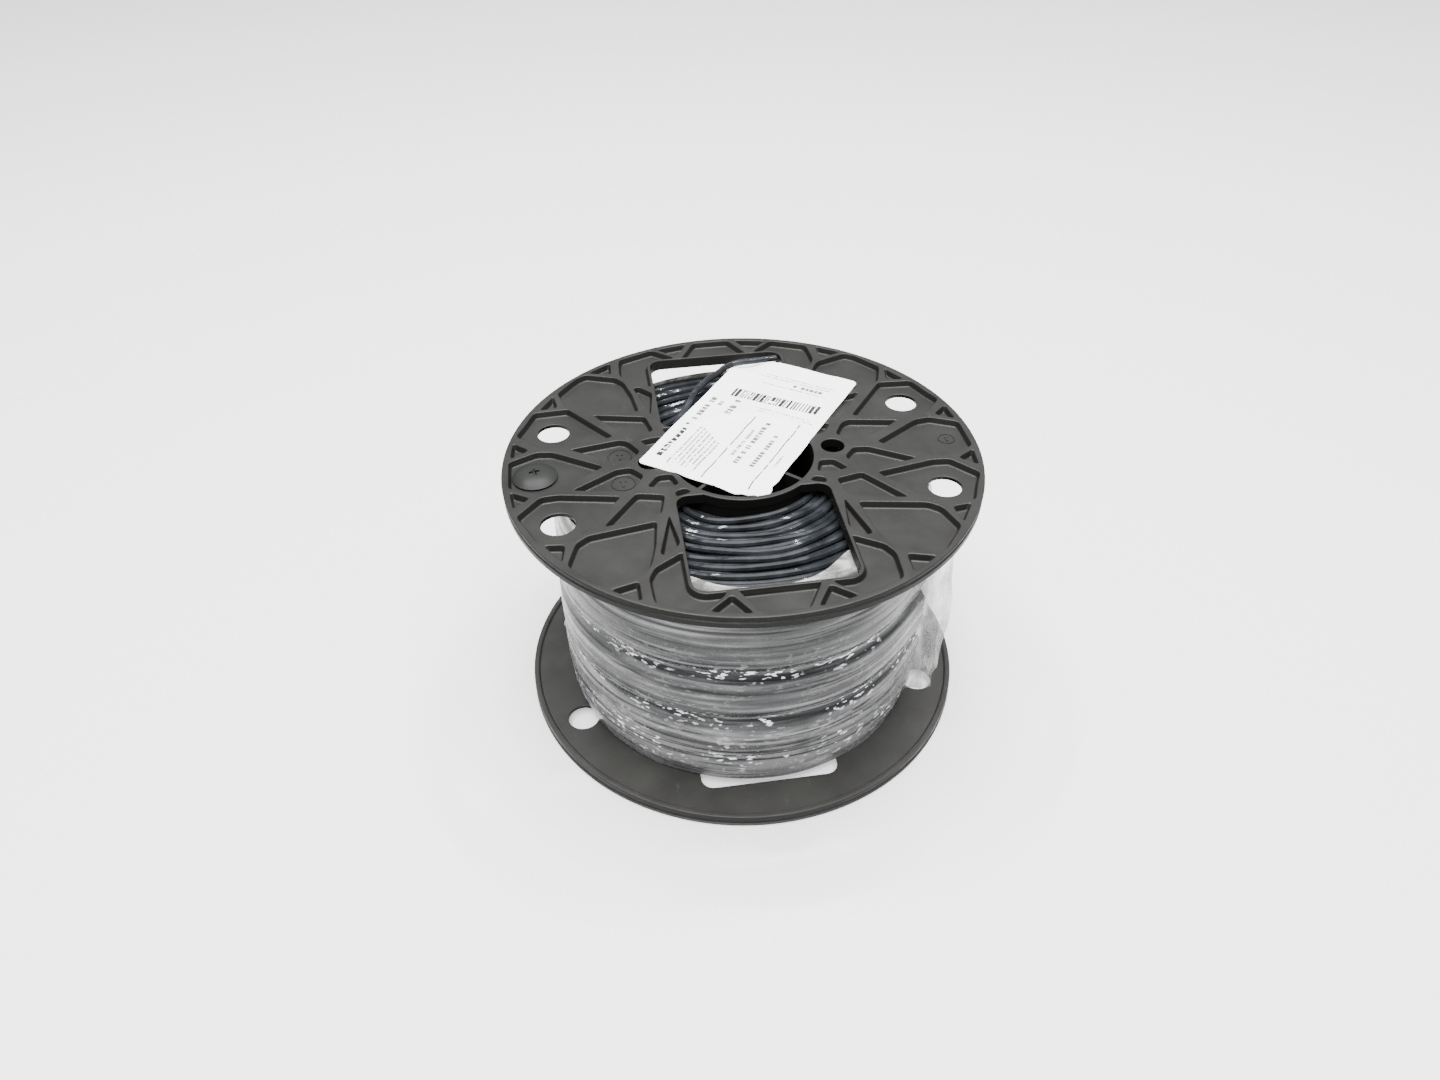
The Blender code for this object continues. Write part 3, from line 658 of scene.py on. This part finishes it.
def stretch_film():
    """Film in several layers: shiny and painted dark with shade in the bands of its grooves, milky
    where it bridges.
    """
    material = new_material("stretch_film", (0.3, 0.31, 0.32), 0.2, specular=0.5)
    n = Nodes(material)
    streaks = n.noise((26, 26, 520), 1, 0.6)
    broad = n.noise((16, 16, 120), 2)
    # Milky veil, paler towards the right where the film stands loose, with painted light that makes it
    # paler towards the bottom.
    haze_and_painted_light = n.total(n.times(streaks, 0.55), n.times(broad, 0.25), n.times(n.noise(70, 4), 0.2),
                   n.span(n.axis(0), 0.0, 0.05, 20 * MM, 62 * MM),
                   n.span(n.axis(2), 0.16, -0.014, 10 * MM, 44 * MM))
    level = n.total(n.axis(2), n.times(n.noise(9, 2), 6 * MM), n.times(n.noise(75, 3), 2.2 * MM))
    share = n.span(level, 0.0, 1.0, *FILM_SPAN)
    # Painted shade: near-black bands in the film's grooves and along its foot, broken up a little by
    # noise.
    band_shade_breakup = n.ramp(n.noise((50, 50, 760), 1), (0.4, 1), (0.6, 0.7))
    painted_band_shade = n.times(n.ramp(share, *PAINTED_SHADE_STOPS), band_shade_breakup)
    # Painted shade: thin dark lines between the turns under the film.
    painted_gap_shade = n.ramp(n.noise((17, 17, 720), 1), (0.36, 1), (0.43, 0))
    dark = n.math("MAXIMUM", painted_band_shade, n.times(painted_gap_shade, 0.75))
    dashes = n.ramp(n.noise((330, 330, 820), 1, 0.6), (0.6, 0), (0.65, 1))
    patches = n.ramp(n.noise(65, 2), (0.42, 0), (0.52, 1))
    painted_glints = n.times(n.times(dashes, patches), n.ramp(share, *PAINTED_GLINT_STOPS))
    curled = n.span(n.axis(2), 0.0, 1.0, COIL_TOP - 2.2 * MM, COIL_TOP - 0.8 * MM)
    colour = n.ramp(haze_and_painted_light, (0.42, (0.008, 0.0085, 0.009)), (0.48, (0.028, 0.029, 0.03)),
                    (0.55, (0.072, 0.072, 0.073)), (0.65, (0.18, 0.18, 0.181)))
    # Painted shade: the film's colour turns near-black in the shaded bands and between the turns.
    colour = n.mixed(dark, colour, (0.012, 0.013, 0.014))
    pale = n.ramp(n.noise((120, 330, 100), 3, 0.6), (0.38, (0.13, 0.129, 0.124)),
                  (0.58, (0.42, 0.415, 0.39)))
    colour = n.mixed(curled, colour, pale)
    # Painted highlights: near-white specks mixed into the film's colour along its creases.
    n.feed("Base Color", n.mixed(painted_glints, colour, (0.9, 0.91, 0.93)))
    n.feed("Specular IOR Level", n.span(dark, 0.32, 0.05))
    n.feed("Roughness", n.span(n.noise(240, 3), 0.12, 0.32, 0.35, 0.65))
    n.feed("Normal", n.bump(streaks, 0.6, 0.35 * MM))
    return material


def loose_film():
    """The film where it stands free: nearly clear, with paler creases."""
    material = new_material("loose_film", (0.6, 0.61, 0.61), 0.15, specular=0.5)
    n = Nodes(material)
    creases = n.noise((220, 60, 45), 5, 0.6)
    n.feed("Alpha", n.span(creases, 0.16, 0.62, 0.4, 0.66))
    n.feed("Base Color", n.ramp(n.noise(90, 4), (0.3, (0.42, 0.42, 0.41)), (0.7, (0.7, 0.7, 0.69))))
    n.feed("Normal", n.bump(creases, 0.8, 0.8 * MM))
    return material


def label_paper():
    """Bright paper, made brighter by a painted glow, pressed over the barrel's edge and creased."""
    material = new_material("label_paper", (0.9, 0.9, 0.89), 0.5, specular=0.35)
    n = Nodes(material)
    n.feed("Base Color", n.ramp(n.noise(70, 5), (0.3, (0.88, 0.88, 0.87)), (0.7, (0.94, 0.94, 0.93))))
    n.feed("Roughness", n.span(n.noise(200, 2), 0.45, 0.65, 0.3, 0.7))
    length = n.add("VectorMath", {0: n.scaled((1, 1, 0))}, operation="LENGTH")
    ring = n.ramp(n.span(length.outputs["Value"], 0.0, 1.0, 24.6 * MM, 27.4 * MM),
                  (0.3, 0), (0.5, 1), (0.7, 0))
    creases = n.bump(n.noise((55, 140, 60), 4, 0.6), 0.7, 1.4 * MM)
    pressed = n.bump(ring, 0.8, 0.35 * MM, creases)
    n.feed("Normal", n.bump(n.noise(1900, 3), 0.2, 0.04 * MM, pressed))
    # Painted light: the paper glows, so that it reads brighter than the lamps make it.
    n.shader.inputs["Emission Color"].default_value = (1.0, 1.0, 0.99, 1.0)
    n.shader.inputs["Emission Strength"].default_value = 1.5
    return material


def printing_ink(name, colour):
    material = new_material(name, colour, 0.6, specular=0.3)
    n = Nodes(material)
    pale = tuple(min(1.0, c * 2.5 + 0.03) for c in colour)
    n.feed("Base Color", n.ramp(n.noise(1400, 3), (0.4, colour), (0.75, pale)))
    return material


def copper():
    material = new_material("bare_copper", (0.62, 0.3, 0.17), 0.35, metallic=1.0)
    n = Nodes(material)
    n.feed("Base Color", n.ramp(n.noise(1800, 2), (0.3, (0.45, 0.2, 0.1)), (0.7, (0.72, 0.38, 0.22))))
    return material


# The winding

WIRE_RADIUS = 1.2 * MM
COIL_BORE = 26.5 * MM
COIL_OUTSIDE = 63.9 * MM
# The winding's side: shares of its height, and millimetres outside its top edge
COIL_SIDE = (
    (0.0, 1.0), (0.09, 2.4), (0.285, 2.6), (0.346, 1.1), (0.405, 2.5), (0.52, 2.3),
    (0.58, 0.8), (0.64, 2.2), (0.8, 1.7), (0.94, 1.1), (1.0, 0.0),
)
# Where the outermost turns lie lower and the film bridges over them, by angle
SLUMP_ANGLE = -66.0
SLUMP_SPREAD = 13.0
SPREAD_ANGLE = -122.0
SPREAD_WIDTH = 24.0
ROW_PITCH = 2.13 * MM
SUNK_ROW = 1.25 * MM


def wave(angle, row, seed, turns=2.0):
    """A smooth value from -1 to 1 that closes on itself around the reel."""
    spot = Vector((math.cos(angle) * turns, math.sin(angle) * turns, row + 17.0 * seed))
    return noise.noise(spot)


def hump(angle, middle, spread):
    """A smooth bump from 0 to 1 around an angle in degrees."""
    off = (math.degrees(angle) - middle + 180) % 360 - 180
    return math.exp(-(off / spread) ** 2)


def add_ring(bm, centre_at, segments=200, sides=8):
    """Adds a closed tube along centre_at(angle), which gives a radius and a height."""
    rows = []
    for i in range(segments):
        angle = 2 * math.pi * i / segments
        radius, height = centre_at(angle)
        ring = []
        for k in range(sides):
            turn = 2 * math.pi * k / sides
            r = radius + WIRE_RADIUS * math.cos(turn)
            z = height + WIRE_RADIUS * math.sin(turn)
            ring.append(bm.verts.new((r * math.cos(angle), r * math.sin(angle), z)))
        rows.append(ring)
    join_loops(bm, rows, closed=True)


def coil_piece(name, bm, material):
    piece = make_piece(name, bm, material)
    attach(piece, "root")
    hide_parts("wire_coil")


def end_turns(name, face, way, material):
    """The turns that show on one end of the winding, every other one sunk between two."""
    bm = bmesh.new()
    rows = int((COIL_OUTSIDE - COIL_BORE - 2 * WIRE_RADIUS) / ROW_PITCH) + 1
    seed = 1 if way > 0 else 2
    for row in range(rows):
        sunk = SUNK_ROW * (row % 2)

        def centre_at(angle):
            out = row / (rows - 1)
            shared = wave(angle, row * 0.22, seed, 1.3)
            own = wave(angle, row * 1.9, seed + 5, 2.6)
            edge = min(row, rows - 1 - row, 3) / 3
            slump = hump(angle, SLUMP_ANGLE, SLUMP_SPREAD) * smooth_step(2.5 * out - 1.5)
            radius = COIL_BORE + WIRE_RADIUS + row * ROW_PITCH
            radius += edge * (1.0 * MM * shared + 1.2 * MM * own)
            radius += 3.2 * MM * (1 - out) * hump(angle, SPREAD_ANGLE, SPREAD_WIDTH)
            radius -= 1.0 * MM * slump
            down = sunk + 0.75 * MM * (1 + wave(angle, row * 0.9, seed + 9, 1.7)) + 1.2 * MM * slump
            return radius, face - way * (WIRE_RADIUS + down)

        add_ring(bm, centre_at)
    coil_piece(name, bm, material)


def side_radius(height, angle):
    """The winding's outer radius, which swells and is drawn in at two bands."""
    share = (height - COIL_BOTTOM) / (COIL_TOP - COIL_BOTTOM)
    share = min(max(share + 0.016 * wave(angle, 0.0, 31, 0.9) * math.sin(math.pi * share), 0), 1)
    for (low, low_out), (high, high_out) in zip(COIL_SIDE, COIL_SIDE[1:]):
        if share <= high:
            mix = smooth_step((share - low) / (high - low))
            return COIL_OUTSIDE + (low_out + (high_out - low_out) * mix) * MM
    return COIL_OUTSIDE


def side_turns(material):
    """The winding's outermost layer, under the film."""
    bm = bmesh.new()
    low = COIL_BOTTOM + 3.2 * MM
    high = COIL_TOP - 3.2 * MM
    rows = round((high - low) / (2.08 * WIRE_RADIUS)) + 1
    for row in range(rows):
        middle = low + (high - low) * row / (rows - 1)

        def centre_at(angle):
            height = middle + 1.0 * MM * wave(angle, row * 0.25, 12, 1.5)
            height += 0.9 * MM * wave(angle, row * 1.7, 18, 1.9)
            radius = side_radius(height, angle) - WIRE_RADIUS - 0.25 * MM
            return radius + 0.45 * MM * wave(angle, row * 2.3, 14, 2.4), height

        add_ring(bm, centre_at, 160, 6)
    coil_piece("wire_side_turns", bm, material)


def coil_core(material):
    """The inner turns, which show only as dark between the outer ones."""
    inset = 3.1 * MM
    outer = COIL_OUTSIDE - 1.6 * MM
    bottom = COIL_BOTTOM + inset
    top = COIL_TOP - inset
    profile = [(COIL_BORE, bottom)]
    ends = [COIL_BORE + ROW_PITCH * k for k in range(1, 17)]
    profile += [(r, bottom + 0.5 * MM * (k % 2)) for k, r in enumerate(ends)]
    profile += [(outer, bottom), (outer, top)]
    profile += [(r, top - 0.5 * MM * (k % 2)) for k, r in reversed(list(enumerate(ends)))]
    profile.append((COIL_BORE, top))
    bm = bmesh.new()
    join_loops(bm, turned_loops(bm, profile, 96), closed=True)
    coil_piece("wire_inner_turns", bm, material)


# The stretch film

FILM_THICKNESS = 0.08 * MM
FOLD_ANGLE = -25.0
FOLD_REACH = 2.5 * MM
FOLD_SPREAD = 9.0


def film_fold(angle, share):
    """How far the film stands off the wire where its loose fold starts."""
    return FOLD_REACH * hump(angle, FOLD_ANGLE, FOLD_SPREAD) * math.sin(math.pi * share)


def film_streak(angle, height):
    """Fine ridges that run round the film, steeper and less level towards its sides."""
    tilt = height + 2.5 * MM * wave(angle, 0.3, 41, 1.2)
    broad = Vector((math.cos(angle) * 3.2, math.sin(angle) * 3.2, tilt / MM * 0.16))
    spot = Vector((math.cos(angle) * 2.4, math.sin(angle) * 2.4, tilt / MM * 0.4))
    return 0.35 * MM * noise.noise(broad) + 0.2 * MM * noise.noise(spot)


def stretch_wrap(material):
    """The film as a thin closed sleeve that curls in over both ends of the winding."""
    around = 280
    up = 128
    curl = 6
    rows = []
    for i in range(-curl, up + curl + 1):
        share = min(max(i / up, 0.0), 1.0)
        past = max(-i, i - up, 0) / curl
        rows.append((share, past, 1 if i > up else -1))
    bm = bmesh.new()
    rings = []
    for layer in (0.0, FILM_THICKNESS):
        order = rows if layer == 0.0 else rows[::-1]
        for share, past, end in order:
            ring = []
            for s in range(around):
                angle = 2 * math.pi * s / around
                height = COIL_BOTTOM + (COIL_TOP - COIL_BOTTOM) * share
                radius = side_radius(height, angle) + 0.6 * MM
                radius += 0.9 * MM * hump(angle, -170.0, 50.0) * math.sin(math.pi * share)
                radius += film_streak(angle, height) + film_fold(angle, share)
                tuck = (0.25 + 0.15 * wave(angle, end * 3.0, 61, 2.2)) * MM
                tuck += 7.2 * MM * hump(angle, -61.0, 14.0) + 2.8 * MM * hump(angle, -115.0, 7.0)
                radius -= tuck * past
                lift = 0.25 * MM * math.sin(math.pi / 2 * past)
                z = height + end * (lift + layer * (past > 0) - 0.15 * MM)
                r = radius + layer * (past == 0)
                ring.append(bm.verts.new((r * math.cos(angle), r * math.sin(angle), z)))
            rings.append(ring)
    join_loops(bm, rings, closed=True)
    piece = make_piece("film_sleeve", bm, material, 70)
    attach(piece, "root")
    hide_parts("stretch_wrap")


# The film's loose fold: heights, how far it reaches along +X and how far it leans, in millimetres

FLAP_ROWS = (
    (91, 67.0, 0.0), (80, 69.5, 1.0), (70, 70.0, 1.6), (60, 69.6, 0.6), (50, 71.0, -0.4),
    (40, 71.6, 0.4), (30, 71.0, 1.4), (20, 69.6, 0.8), (12, 68.0, -0.6), (6, 68.4, -1.0),
)
FLAP_Y = -32.6
FLAP_ROOT = 54.5


def film_flap(material):
    """The loose fold at the film's side: a crumpled sheet that stands off the winding."""
    across = 18
    steps = 6
    rows = []
    for (z0, x0, lean0), (z1, x1, lean1) in zip(FLAP_ROWS, FLAP_ROWS[1:]):
        for k in range(steps):
            t = smooth_step(k / steps)
            rows.append((z0 + (z1 - z0) * k / steps, x0 + (x1 - x0) * t, lean0 + (lean1 - lean0) * t))
    rows.append(FLAP_ROWS[-1])

    def point_at(i, k, lift):
        z, far, lean = rows[i]
        t = k / across
        x = FLAP_ROOT + (far - FLAP_ROOT) * t
        spot = Vector((x * 0.22, z * 0.07, 3.0))
        fine = Vector((x * 0.6, z * 0.2, 9.0))
        y = FLAP_Y + lean * t + t * (2.2 * noise.noise(spot) + 0.8 * noise.noise(fine))
        return x * MM, y * MM + lift, (z - 1.4 * t * t) * MM

    bm = bmesh.new()
    add_sheet(bm, len(rows), across + 1, point_at, (0.0, FILM_THICKNESS))
    piece = make_piece("film_flap", bm, material, 70)
    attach(piece, "root")


# The paper label

LABEL_LENGTH = 82.5 * MM
LABEL_WIDTH = 47.5 * MM
LABEL_THICKNESS = 0.16 * MM
LABEL_CORNER = 1.8 * MM
LABEL_X = 7.2 * MM
LABEL_Y = 19.7 * MM
LABEL_ANGLE = 54.0
LABEL_CELL = 1.3 * MM
LABEL_DIP = 4.0 * MM
LABEL_DIP_REACH = 16.0 * MM
LABEL_DROOP = 2.2 * MM
LABEL_DROOP_ANGLE = -83.0
LABEL_DROOP_SPREAD = 45.0
LABEL_UNDERSIDE = HEIGHT + 0.08 * MM
# The longest cell of a printed mark in millimetres, and the heights of its two faces
PRINT_CELL = 1.3
PRINT_LIFTS = (LABEL_THICKNESS + 0.004 * MM, LABEL_THICKNESS + 0.03 * MM)


def label_place(u, v):
    turn = math.radians(LABEL_ANGLE)
    return (LABEL_X + u * math.cos(turn) - v * math.sin(turn),
            LABEL_Y + u * math.sin(turn) + v * math.cos(turn))


def label_drop(x, y):
    """How far the label hangs below its flat part."""
    corner = label_place(LABEL_LENGTH / 2, LABEL_WIDTH / 2)
    from_corner = math.hypot(x - corner[0], y - corner[1])
    dip = LABEL_DIP * smooth_step(1 - from_corner / LABEL_DIP_REACH)
    arbor_edge = ARBOR_BORE_RADIUS + ARBOR_WALL + 0.6 * MM
    barrel_edge = BARREL_RADIUS - BARREL_WALL
    radius = math.hypot(x, y)
    outward = smooth_step((radius - arbor_edge) / (barrel_edge - arbor_edge))
    off = abs(math.degrees(math.atan2(y, x)) - LABEL_DROOP_ANGLE)
    droop = LABEL_DROOP * outward * smooth_step(1.4 * (1 - off / LABEL_DROOP_SPREAD))
    return dip + droop


def label_height(x, y):
    """The label's underside: flat on the ribs, slack between them, with a few creases."""
    radius = math.hypot(x, y)
    hollow = (radius - ARBOR_BORE_RADIUS - ARBOR_WALL) * (BARREL_RADIUS - BARREL_WALL - radius)
    slack = 0.3 * MM * smooth_step(hollow / (12 * MM * MM))
    slack += 0.35 * MM * smooth_step((ARBOR_BORE_RADIUS - radius) / (4 * MM))
    ring = 0.3 * MM * math.exp(-((radius - BARREL_RADIUS + 0.7 * MM) / (0.9 * MM)) ** 2)
    spot = Vector((x, y, 0)) / (13 * MM)
    wave_height = 0.25 * MM * (1 + noise.noise(spot + Vector((3, 1, 7))))
    crease = 0.18 * MM * max(0.0, 0.6 - abs(noise.noise(spot * 1.7)) * 9)
    return LABEL_UNDERSIDE + wave_height + ring + crease - slack - label_drop(x, y)


def label_outline():
    """The label's cut outline, with the corner at the hub torn back unevenly."""
    long, wide = LABEL_LENGTH / 2, LABEL_WIDTH / 2
    r = LABEL_CORNER
    outline = arc(long - r, wide - r, r, 0, 90, 6) + arc(r - long, wide - r, r, 90, 180, 6)
    torn = ((0, 12), (0.3, 10.2), (1.5, 8.3), (2.1, 6.1), (3.3, 4.3), (3.5, 2.2), (4.9, 1.2),
            (5.4, 0.4), (8.0, 0.3), (9.3, 0.9), (10.6, 0.5), (12.5, 0.0))
    outline += [(x * MM - long, y * MM - wide) for x, y in torn]
    return outline + arc(long - r, r - wide, r, -90, 0, 6)


def paper_label(material):
    bm = bmesh.new()
    bm.faces.new([bm.verts.new((u, v, 0)) for u, v in label_outline()])
    for size, across in ((LABEL_LENGTH, Vector((1, 0, 0))), (LABEL_WIDTH, Vector((0, 1, 0)))):
        cells = round(size / LABEL_CELL)
        for k in range(1, cells):
            bmesh.ops.bisect_plane(bm, geom=bm.verts[:] + bm.edges[:] + bm.faces[:],
                                   plane_co=across * size * (k / cells - 0.5), plane_no=across)
    underside = bm.verts[:]
    made = bmesh.ops.extrude_face_region(bm, geom=bm.faces[:], use_keep_orig=True)["geom"]
    topside = [item for item in made if isinstance(item, bmesh.types.BMVert)]
    for verts, lift in ((underside, 0.0), (topside, LABEL_THICKNESS)):
        for vert in verts:
            x, y = label_place(vert.co.x, vert.co.y)
            vert.co = (x, y, label_height(x, y) + lift)
    piece = make_piece("paper_label", bm, material, 60)
    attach(piece, "root")
    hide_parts("label")


def add_print(bm, u0, u1, v0, v1):
    """Adds one printed mark, a thin patch that follows the label. Its sizes are in mm."""
    cells_u = max(1, math.ceil(abs(u1 - u0) / PRINT_CELL))
    cells_v = max(1, math.ceil(abs(v1 - v0) / PRINT_CELL))

    def point_at(i, k, lift):
        x, y = label_place((u0 + (u1 - u0) * i / cells_u) * MM,
                           (v0 + (v1 - v0) * k / cells_v) * MM)
        return x, y, label_height(x, y) + lift

    add_sheet(bm, cells_u + 1, cells_v + 1, point_at, PRINT_LIFTS)


def add_row(bm, draw, start, end, middle, tall, along_length=True):
    """Adds a row of plain dashes that stands for a line of print."""
    spot = start
    way = 1 if end > start else -1
    while (end - spot) * way > 0:
        dash = draw.uniform(0.45, 1.0) * tall
        low, high = spot, spot + way * dash
        if along_length:
            add_print(bm, low, high, middle - tall / 2, middle + tall / 2)
        else:
            add_print(bm, middle - tall / 2, middle + tall / 2, low, high)
        spot = high + way * draw.choice((0.25, 0.3, 0.35, 1.1)) * tall


def label_print(dark, grey):
    """Generic printing: a barcode-like strip, two rules and rows of dashes."""
    draw = random.Random(7)
    bm = bmesh.new()
    across = 15.0
    while across > -19.0:
        width = draw.choice((0.45, 0.6, 0.95, 1.3))
        start = 11.2 + 1.9 * (15.0 - across) / 34.0
        add_print(bm, start, start + 5.6, across - width, across)
        across -= width + draw.choice((0.4, 0.55, 0.8))
    add_print(bm, -39.0, 2.7, 0.0, 0.45)
    add_print(bm, -37.5, 4.6, -16.9, -16.45)
    add_row(bm, draw, -34.5, -12.0, 19.3, 2.3)
    piece = make_piece("label_print_dark", bm, dark)
    soft = bmesh.new()
    add_row(soft, draw, -9.0, 9.0, 19.3, 2.0)
    add_row(soft, draw, -1.0, 10.0, 10.4, 2.4)
    add_row(soft, draw, 3.5, 8.0, 15.6, 1.6)
    for line in range(7):
        add_row(soft, draw, -37.0 + 0.8 * (line % 3), -12.0 - 1.1 * line, 14.6 - 1.7 * line, 0.75)
    for middle, start, end, tall in ((-3.0, -22.5, -6.5, 1.2), (-6.0, -26.5, 1.0, 1.7),
                                     (-12.0, -26.0, -5.5, 1.6), (-19.2, -23.0, -15.5, 0.8)):
        add_row(soft, draw, start, end, middle, tall)
    add_row(soft, draw, -3.5, -15.5, 27.6, 1.7, along_length=False)
    for middle, start, end in ((31.6, 9.5, -19.0), (29.9, 12.5, -17.0), (25.2, 8.0, -18.5),
                               (8.3, 3.0, -19.0), (6.6, 1.0, -20.0)):
        add_row(soft, draw, start, end, middle, 0.55, along_length=False)
    pale = make_piece("label_print_grey", soft, grey)
    for mark in (piece, pale):
        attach(mark, "root")


# The loose wire end

TAIL_ROUTE = (
    (-21.0, 25.4, -3.15), (-14.7, 36.7, -2.4), (-10.2, 46.1, -1.8), (-5.6, 51.6, -1.1),
    (-0.1, 56.3, -0.6), (3.2, 59.5, -0.3), (8.2, 61.8, -0.1), (16.6, 62.9, -0.3),
    (24.0, 64.0, -0.6),
)


def smooth_route(points, steps):
    """Points on the smooth curve through the route's own points."""
    ends = [points[0] * 2 - points[1]] + points + [points[-1] * 2 - points[-2]]
    fine = []
    for i in range(1, len(ends) - 2):
        a, b, c, d = ends[i - 1:i + 3]
        for k in range(steps):
            t = k / steps
            fine.append(0.5 * (2 * b + (c - a) * t + (2 * a - 5 * b + 4 * c - d) * t ** 2
                               + (3 * b - a - 3 * c + d) * t ** 3))
    return fine + [points[-1]]


def wire_tail(jacket, metal):
    route = [Vector((x, y, z)) * MM + Vector((0, 0, HEIGHT)) for x, y, z in TAIL_ROUTE]
    points = smooth_route(route, 6)
    curve = bpy.data.curves.new("loose_wire_end", "CURVE")
    curve.dimensions = "3D"
    curve.bevel_depth = WIRE_RADIUS
    curve.bevel_resolution = 5
    curve.use_fill_caps = True
    spline = curve.splines.new("POLY")
    spline.points.add(len(points) - 1)
    for target, point in zip(spline.points, points):
        target.co = (*point, 1.0)
    curve.materials.append(jacket)
    tail = new_object("loose_wire_end", curve)
    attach(tail, "root")
    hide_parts("wire_tail")
    strands = cut_strands(points[-1], (points[-1] - points[-2]).normalized(), metal)


def cut_strands(tip, along, metal):
    """The cut ends of the copper strands, just showing in the middle of the wire's end."""
    strand = 0.13 * MM
    turn = along.to_track_quat("Z", "Y").to_matrix().to_4x4()
    places = [(0, 0)]
    for ring, count in ((1, 6), (2, 12)):
        for k in range(count):
            angle = 2 * math.pi * k / count
            places.append((2.05 * strand * ring * math.cos(angle),
                           2.05 * strand * ring * math.sin(angle)))
    bm = bmesh.new()
    for x, y in places:
        made = bmesh.ops.create_cone(bm, cap_ends=True, segments=8, radius1=strand,
                                     radius2=strand * 0.9, depth=0.5 * MM)["verts"]
        bmesh.ops.translate(bm, vec=(x, y, -0.1 * MM), verts=made)
    bmesh.ops.transform(bm, matrix=Matrix.Translation(tip) @ turn, verts=bm.verts)
    piece = make_piece("cut_strands", bm, metal)
    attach(piece, "root")
    return piece


# The mould marks in the flange's pockets

DATE_MARKS = ((-41.9, 8.0, 4.0), (-41.9, -8.0, 4.0), (73.5, 0.5, 2.8))


def mould_marks(material):
    """Small rings with a short arrow, raised a little from the pockets' floors."""
    floor = HEIGHT - POCKET_DEPTH
    bm = bmesh.new()
    for x, y, size in DATE_MARKS:
        radius = size * MM
        profile = [(-0.3, 0.0), (-0.15, 0.25), (0.15, 0.25), (0.3, 0.0), (0.0, -0.2)]
        ring = [(radius + a * MM, floor + b * MM) for a, b in profile]
        join_loops(bm, turned_loops(bm, ring, 48, x * MM, y * MM), closed=True)
        arrow = ((-0.12, -0.5), (0.12, -0.5), (0.12, 0.2), (0.3, 0.2), (0, 0.6), (-0.3, 0.2),
                 (-0.12, 0.2))
        outline = [(x * MM + a * radius, y * MM + b * radius) for a, b in arrow]
        loops = [loop_of(bm, outline, floor + lift * MM) for lift in (-0.1, 0.22)]
        join_loops(bm, loops, capped=True)
    piece = make_piece("mould_date_marks", bm, material)
    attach(piece, "root")


# The camera, the light and the floor

def place_camera():
    """The camera at the photograph's place, as the fit of both flanges gave it."""
    data = bpy.data.cameras.new("camera")
    data.lens = CAMERA_LENS
    data.sensor_width = SENSOR_WIDTH
    data.clip_start = 0.01
    camera = new_object("camera", data)
    turn = (Matrix.Rotation(math.radians(-CAMERA_HEADING), 4, "Z")
            @ Matrix.Rotation(math.radians(90 - CAMERA_PITCH), 4, "X")
            @ Matrix.Rotation(math.radians(CAMERA_ROLL), 4, "Z"))
    camera.matrix_world = Matrix.Translation(CAMERA_PLACE) @ turn
    bpy.context.scene.camera = camera


def area_light(name, place, size, watts):
    """A rectangular light aimed at the middle of the reel."""
    data = bpy.data.lights.new(name, "AREA")
    data.shape = "RECTANGLE"
    data.size, data.size_y = size
    data.energy = watts
    light = new_object(name, data)
    towards = Vector((0, 0, 0.05)) - Vector(place)
    light.location = place
    light.rotation_euler = towards.to_track_quat("-Z", "Y").to_euler()


def studio():
    world = bpy.data.worlds.new("studio")
    world.use_nodes = True
    background = world.node_tree.nodes["Background"]
    background.inputs["Color"].default_value = (0.95, 0.96, 1.0, 1.0)
    background.inputs["Strength"].default_value = 0.7
    bpy.context.scene.world = world
    area_light("softbox", (0.0, -0.3, 1.5), (1.4, 1.1), 58.0)
    for place in (-0.36, 0.0, 0.36):
        area_light("strip", (place, 0.25, 1.1), (0.24, 0.02), 5.5)
    area_light("front_strip", (-0.3, -0.9, 0.9), (0.3, 0.03), 3.5)
    bm = bmesh.new()
    bmesh.ops.create_grid(bm, x_segments=1, y_segments=1, size=6.0)
    floor_material = new_material("pale_floor", (0.92, 0.92, 0.915), 0.6, specular=0.2)
    glow = floor_material.node_tree.nodes["Principled BSDF"]
    glow.inputs["Emission Color"].default_value = (1.0, 1.0, 1.0, 1.0)
    glow.inputs["Emission Strength"].default_value = 0.6
    floor = make_piece("pale_floor", bm, floor_material)
    floor.location.z = -0.2 * MM


place_camera()
studio()
PLASTIC = moulded_plastic("flange_plastic", (0.016, 0.0158, 0.0146), (0.0238, 0.0235, 0.0217), 0.38)
# Painted light: the lower moulding gets a paler copy of the flange plastic, lighter to stand in for
# the light that falls on it.
LOWER_PLASTIC_PAINTED_LIGHT = moulded_plastic("lower_plastic_painted_light", (0.03, 0.0295, 0.0275), (0.043, 0.0425, 0.0395), 0.42)
PLUG_PLASTIC = moulded_plastic("plug_plastic", (0.0115, 0.0124, 0.0113), (0.0165, 0.0178, 0.0163), 0.5)
JACKET = wire_jacket()
wire_tail(JACKET, copper())
reel_half("reel_upper_moulding", "reel_half_top", True, PLASTIC)
reel_half("reel_lower_moulding", "reel_half_bottom", False, LOWER_PLASTIC_PAINTED_LIGHT)
flange_plug(PLUG_PLASTIC)
mould_marks(PLASTIC)
end_turns("wire_top_turns", COIL_TOP, 1, JACKET)
end_turns("wire_bottom_turns", COIL_BOTTOM, -1, JACKET)
side_turns(JACKET)
coil_core(JACKET)
FILM = stretch_film()
stretch_wrap(FILM)
film_flap(loose_film())
paper_label(label_paper())
label_print(printing_ink("print_black", (0.012, 0.012, 0.014)),
            printing_ink("print_grey", (0.09, 0.09, 0.095)))
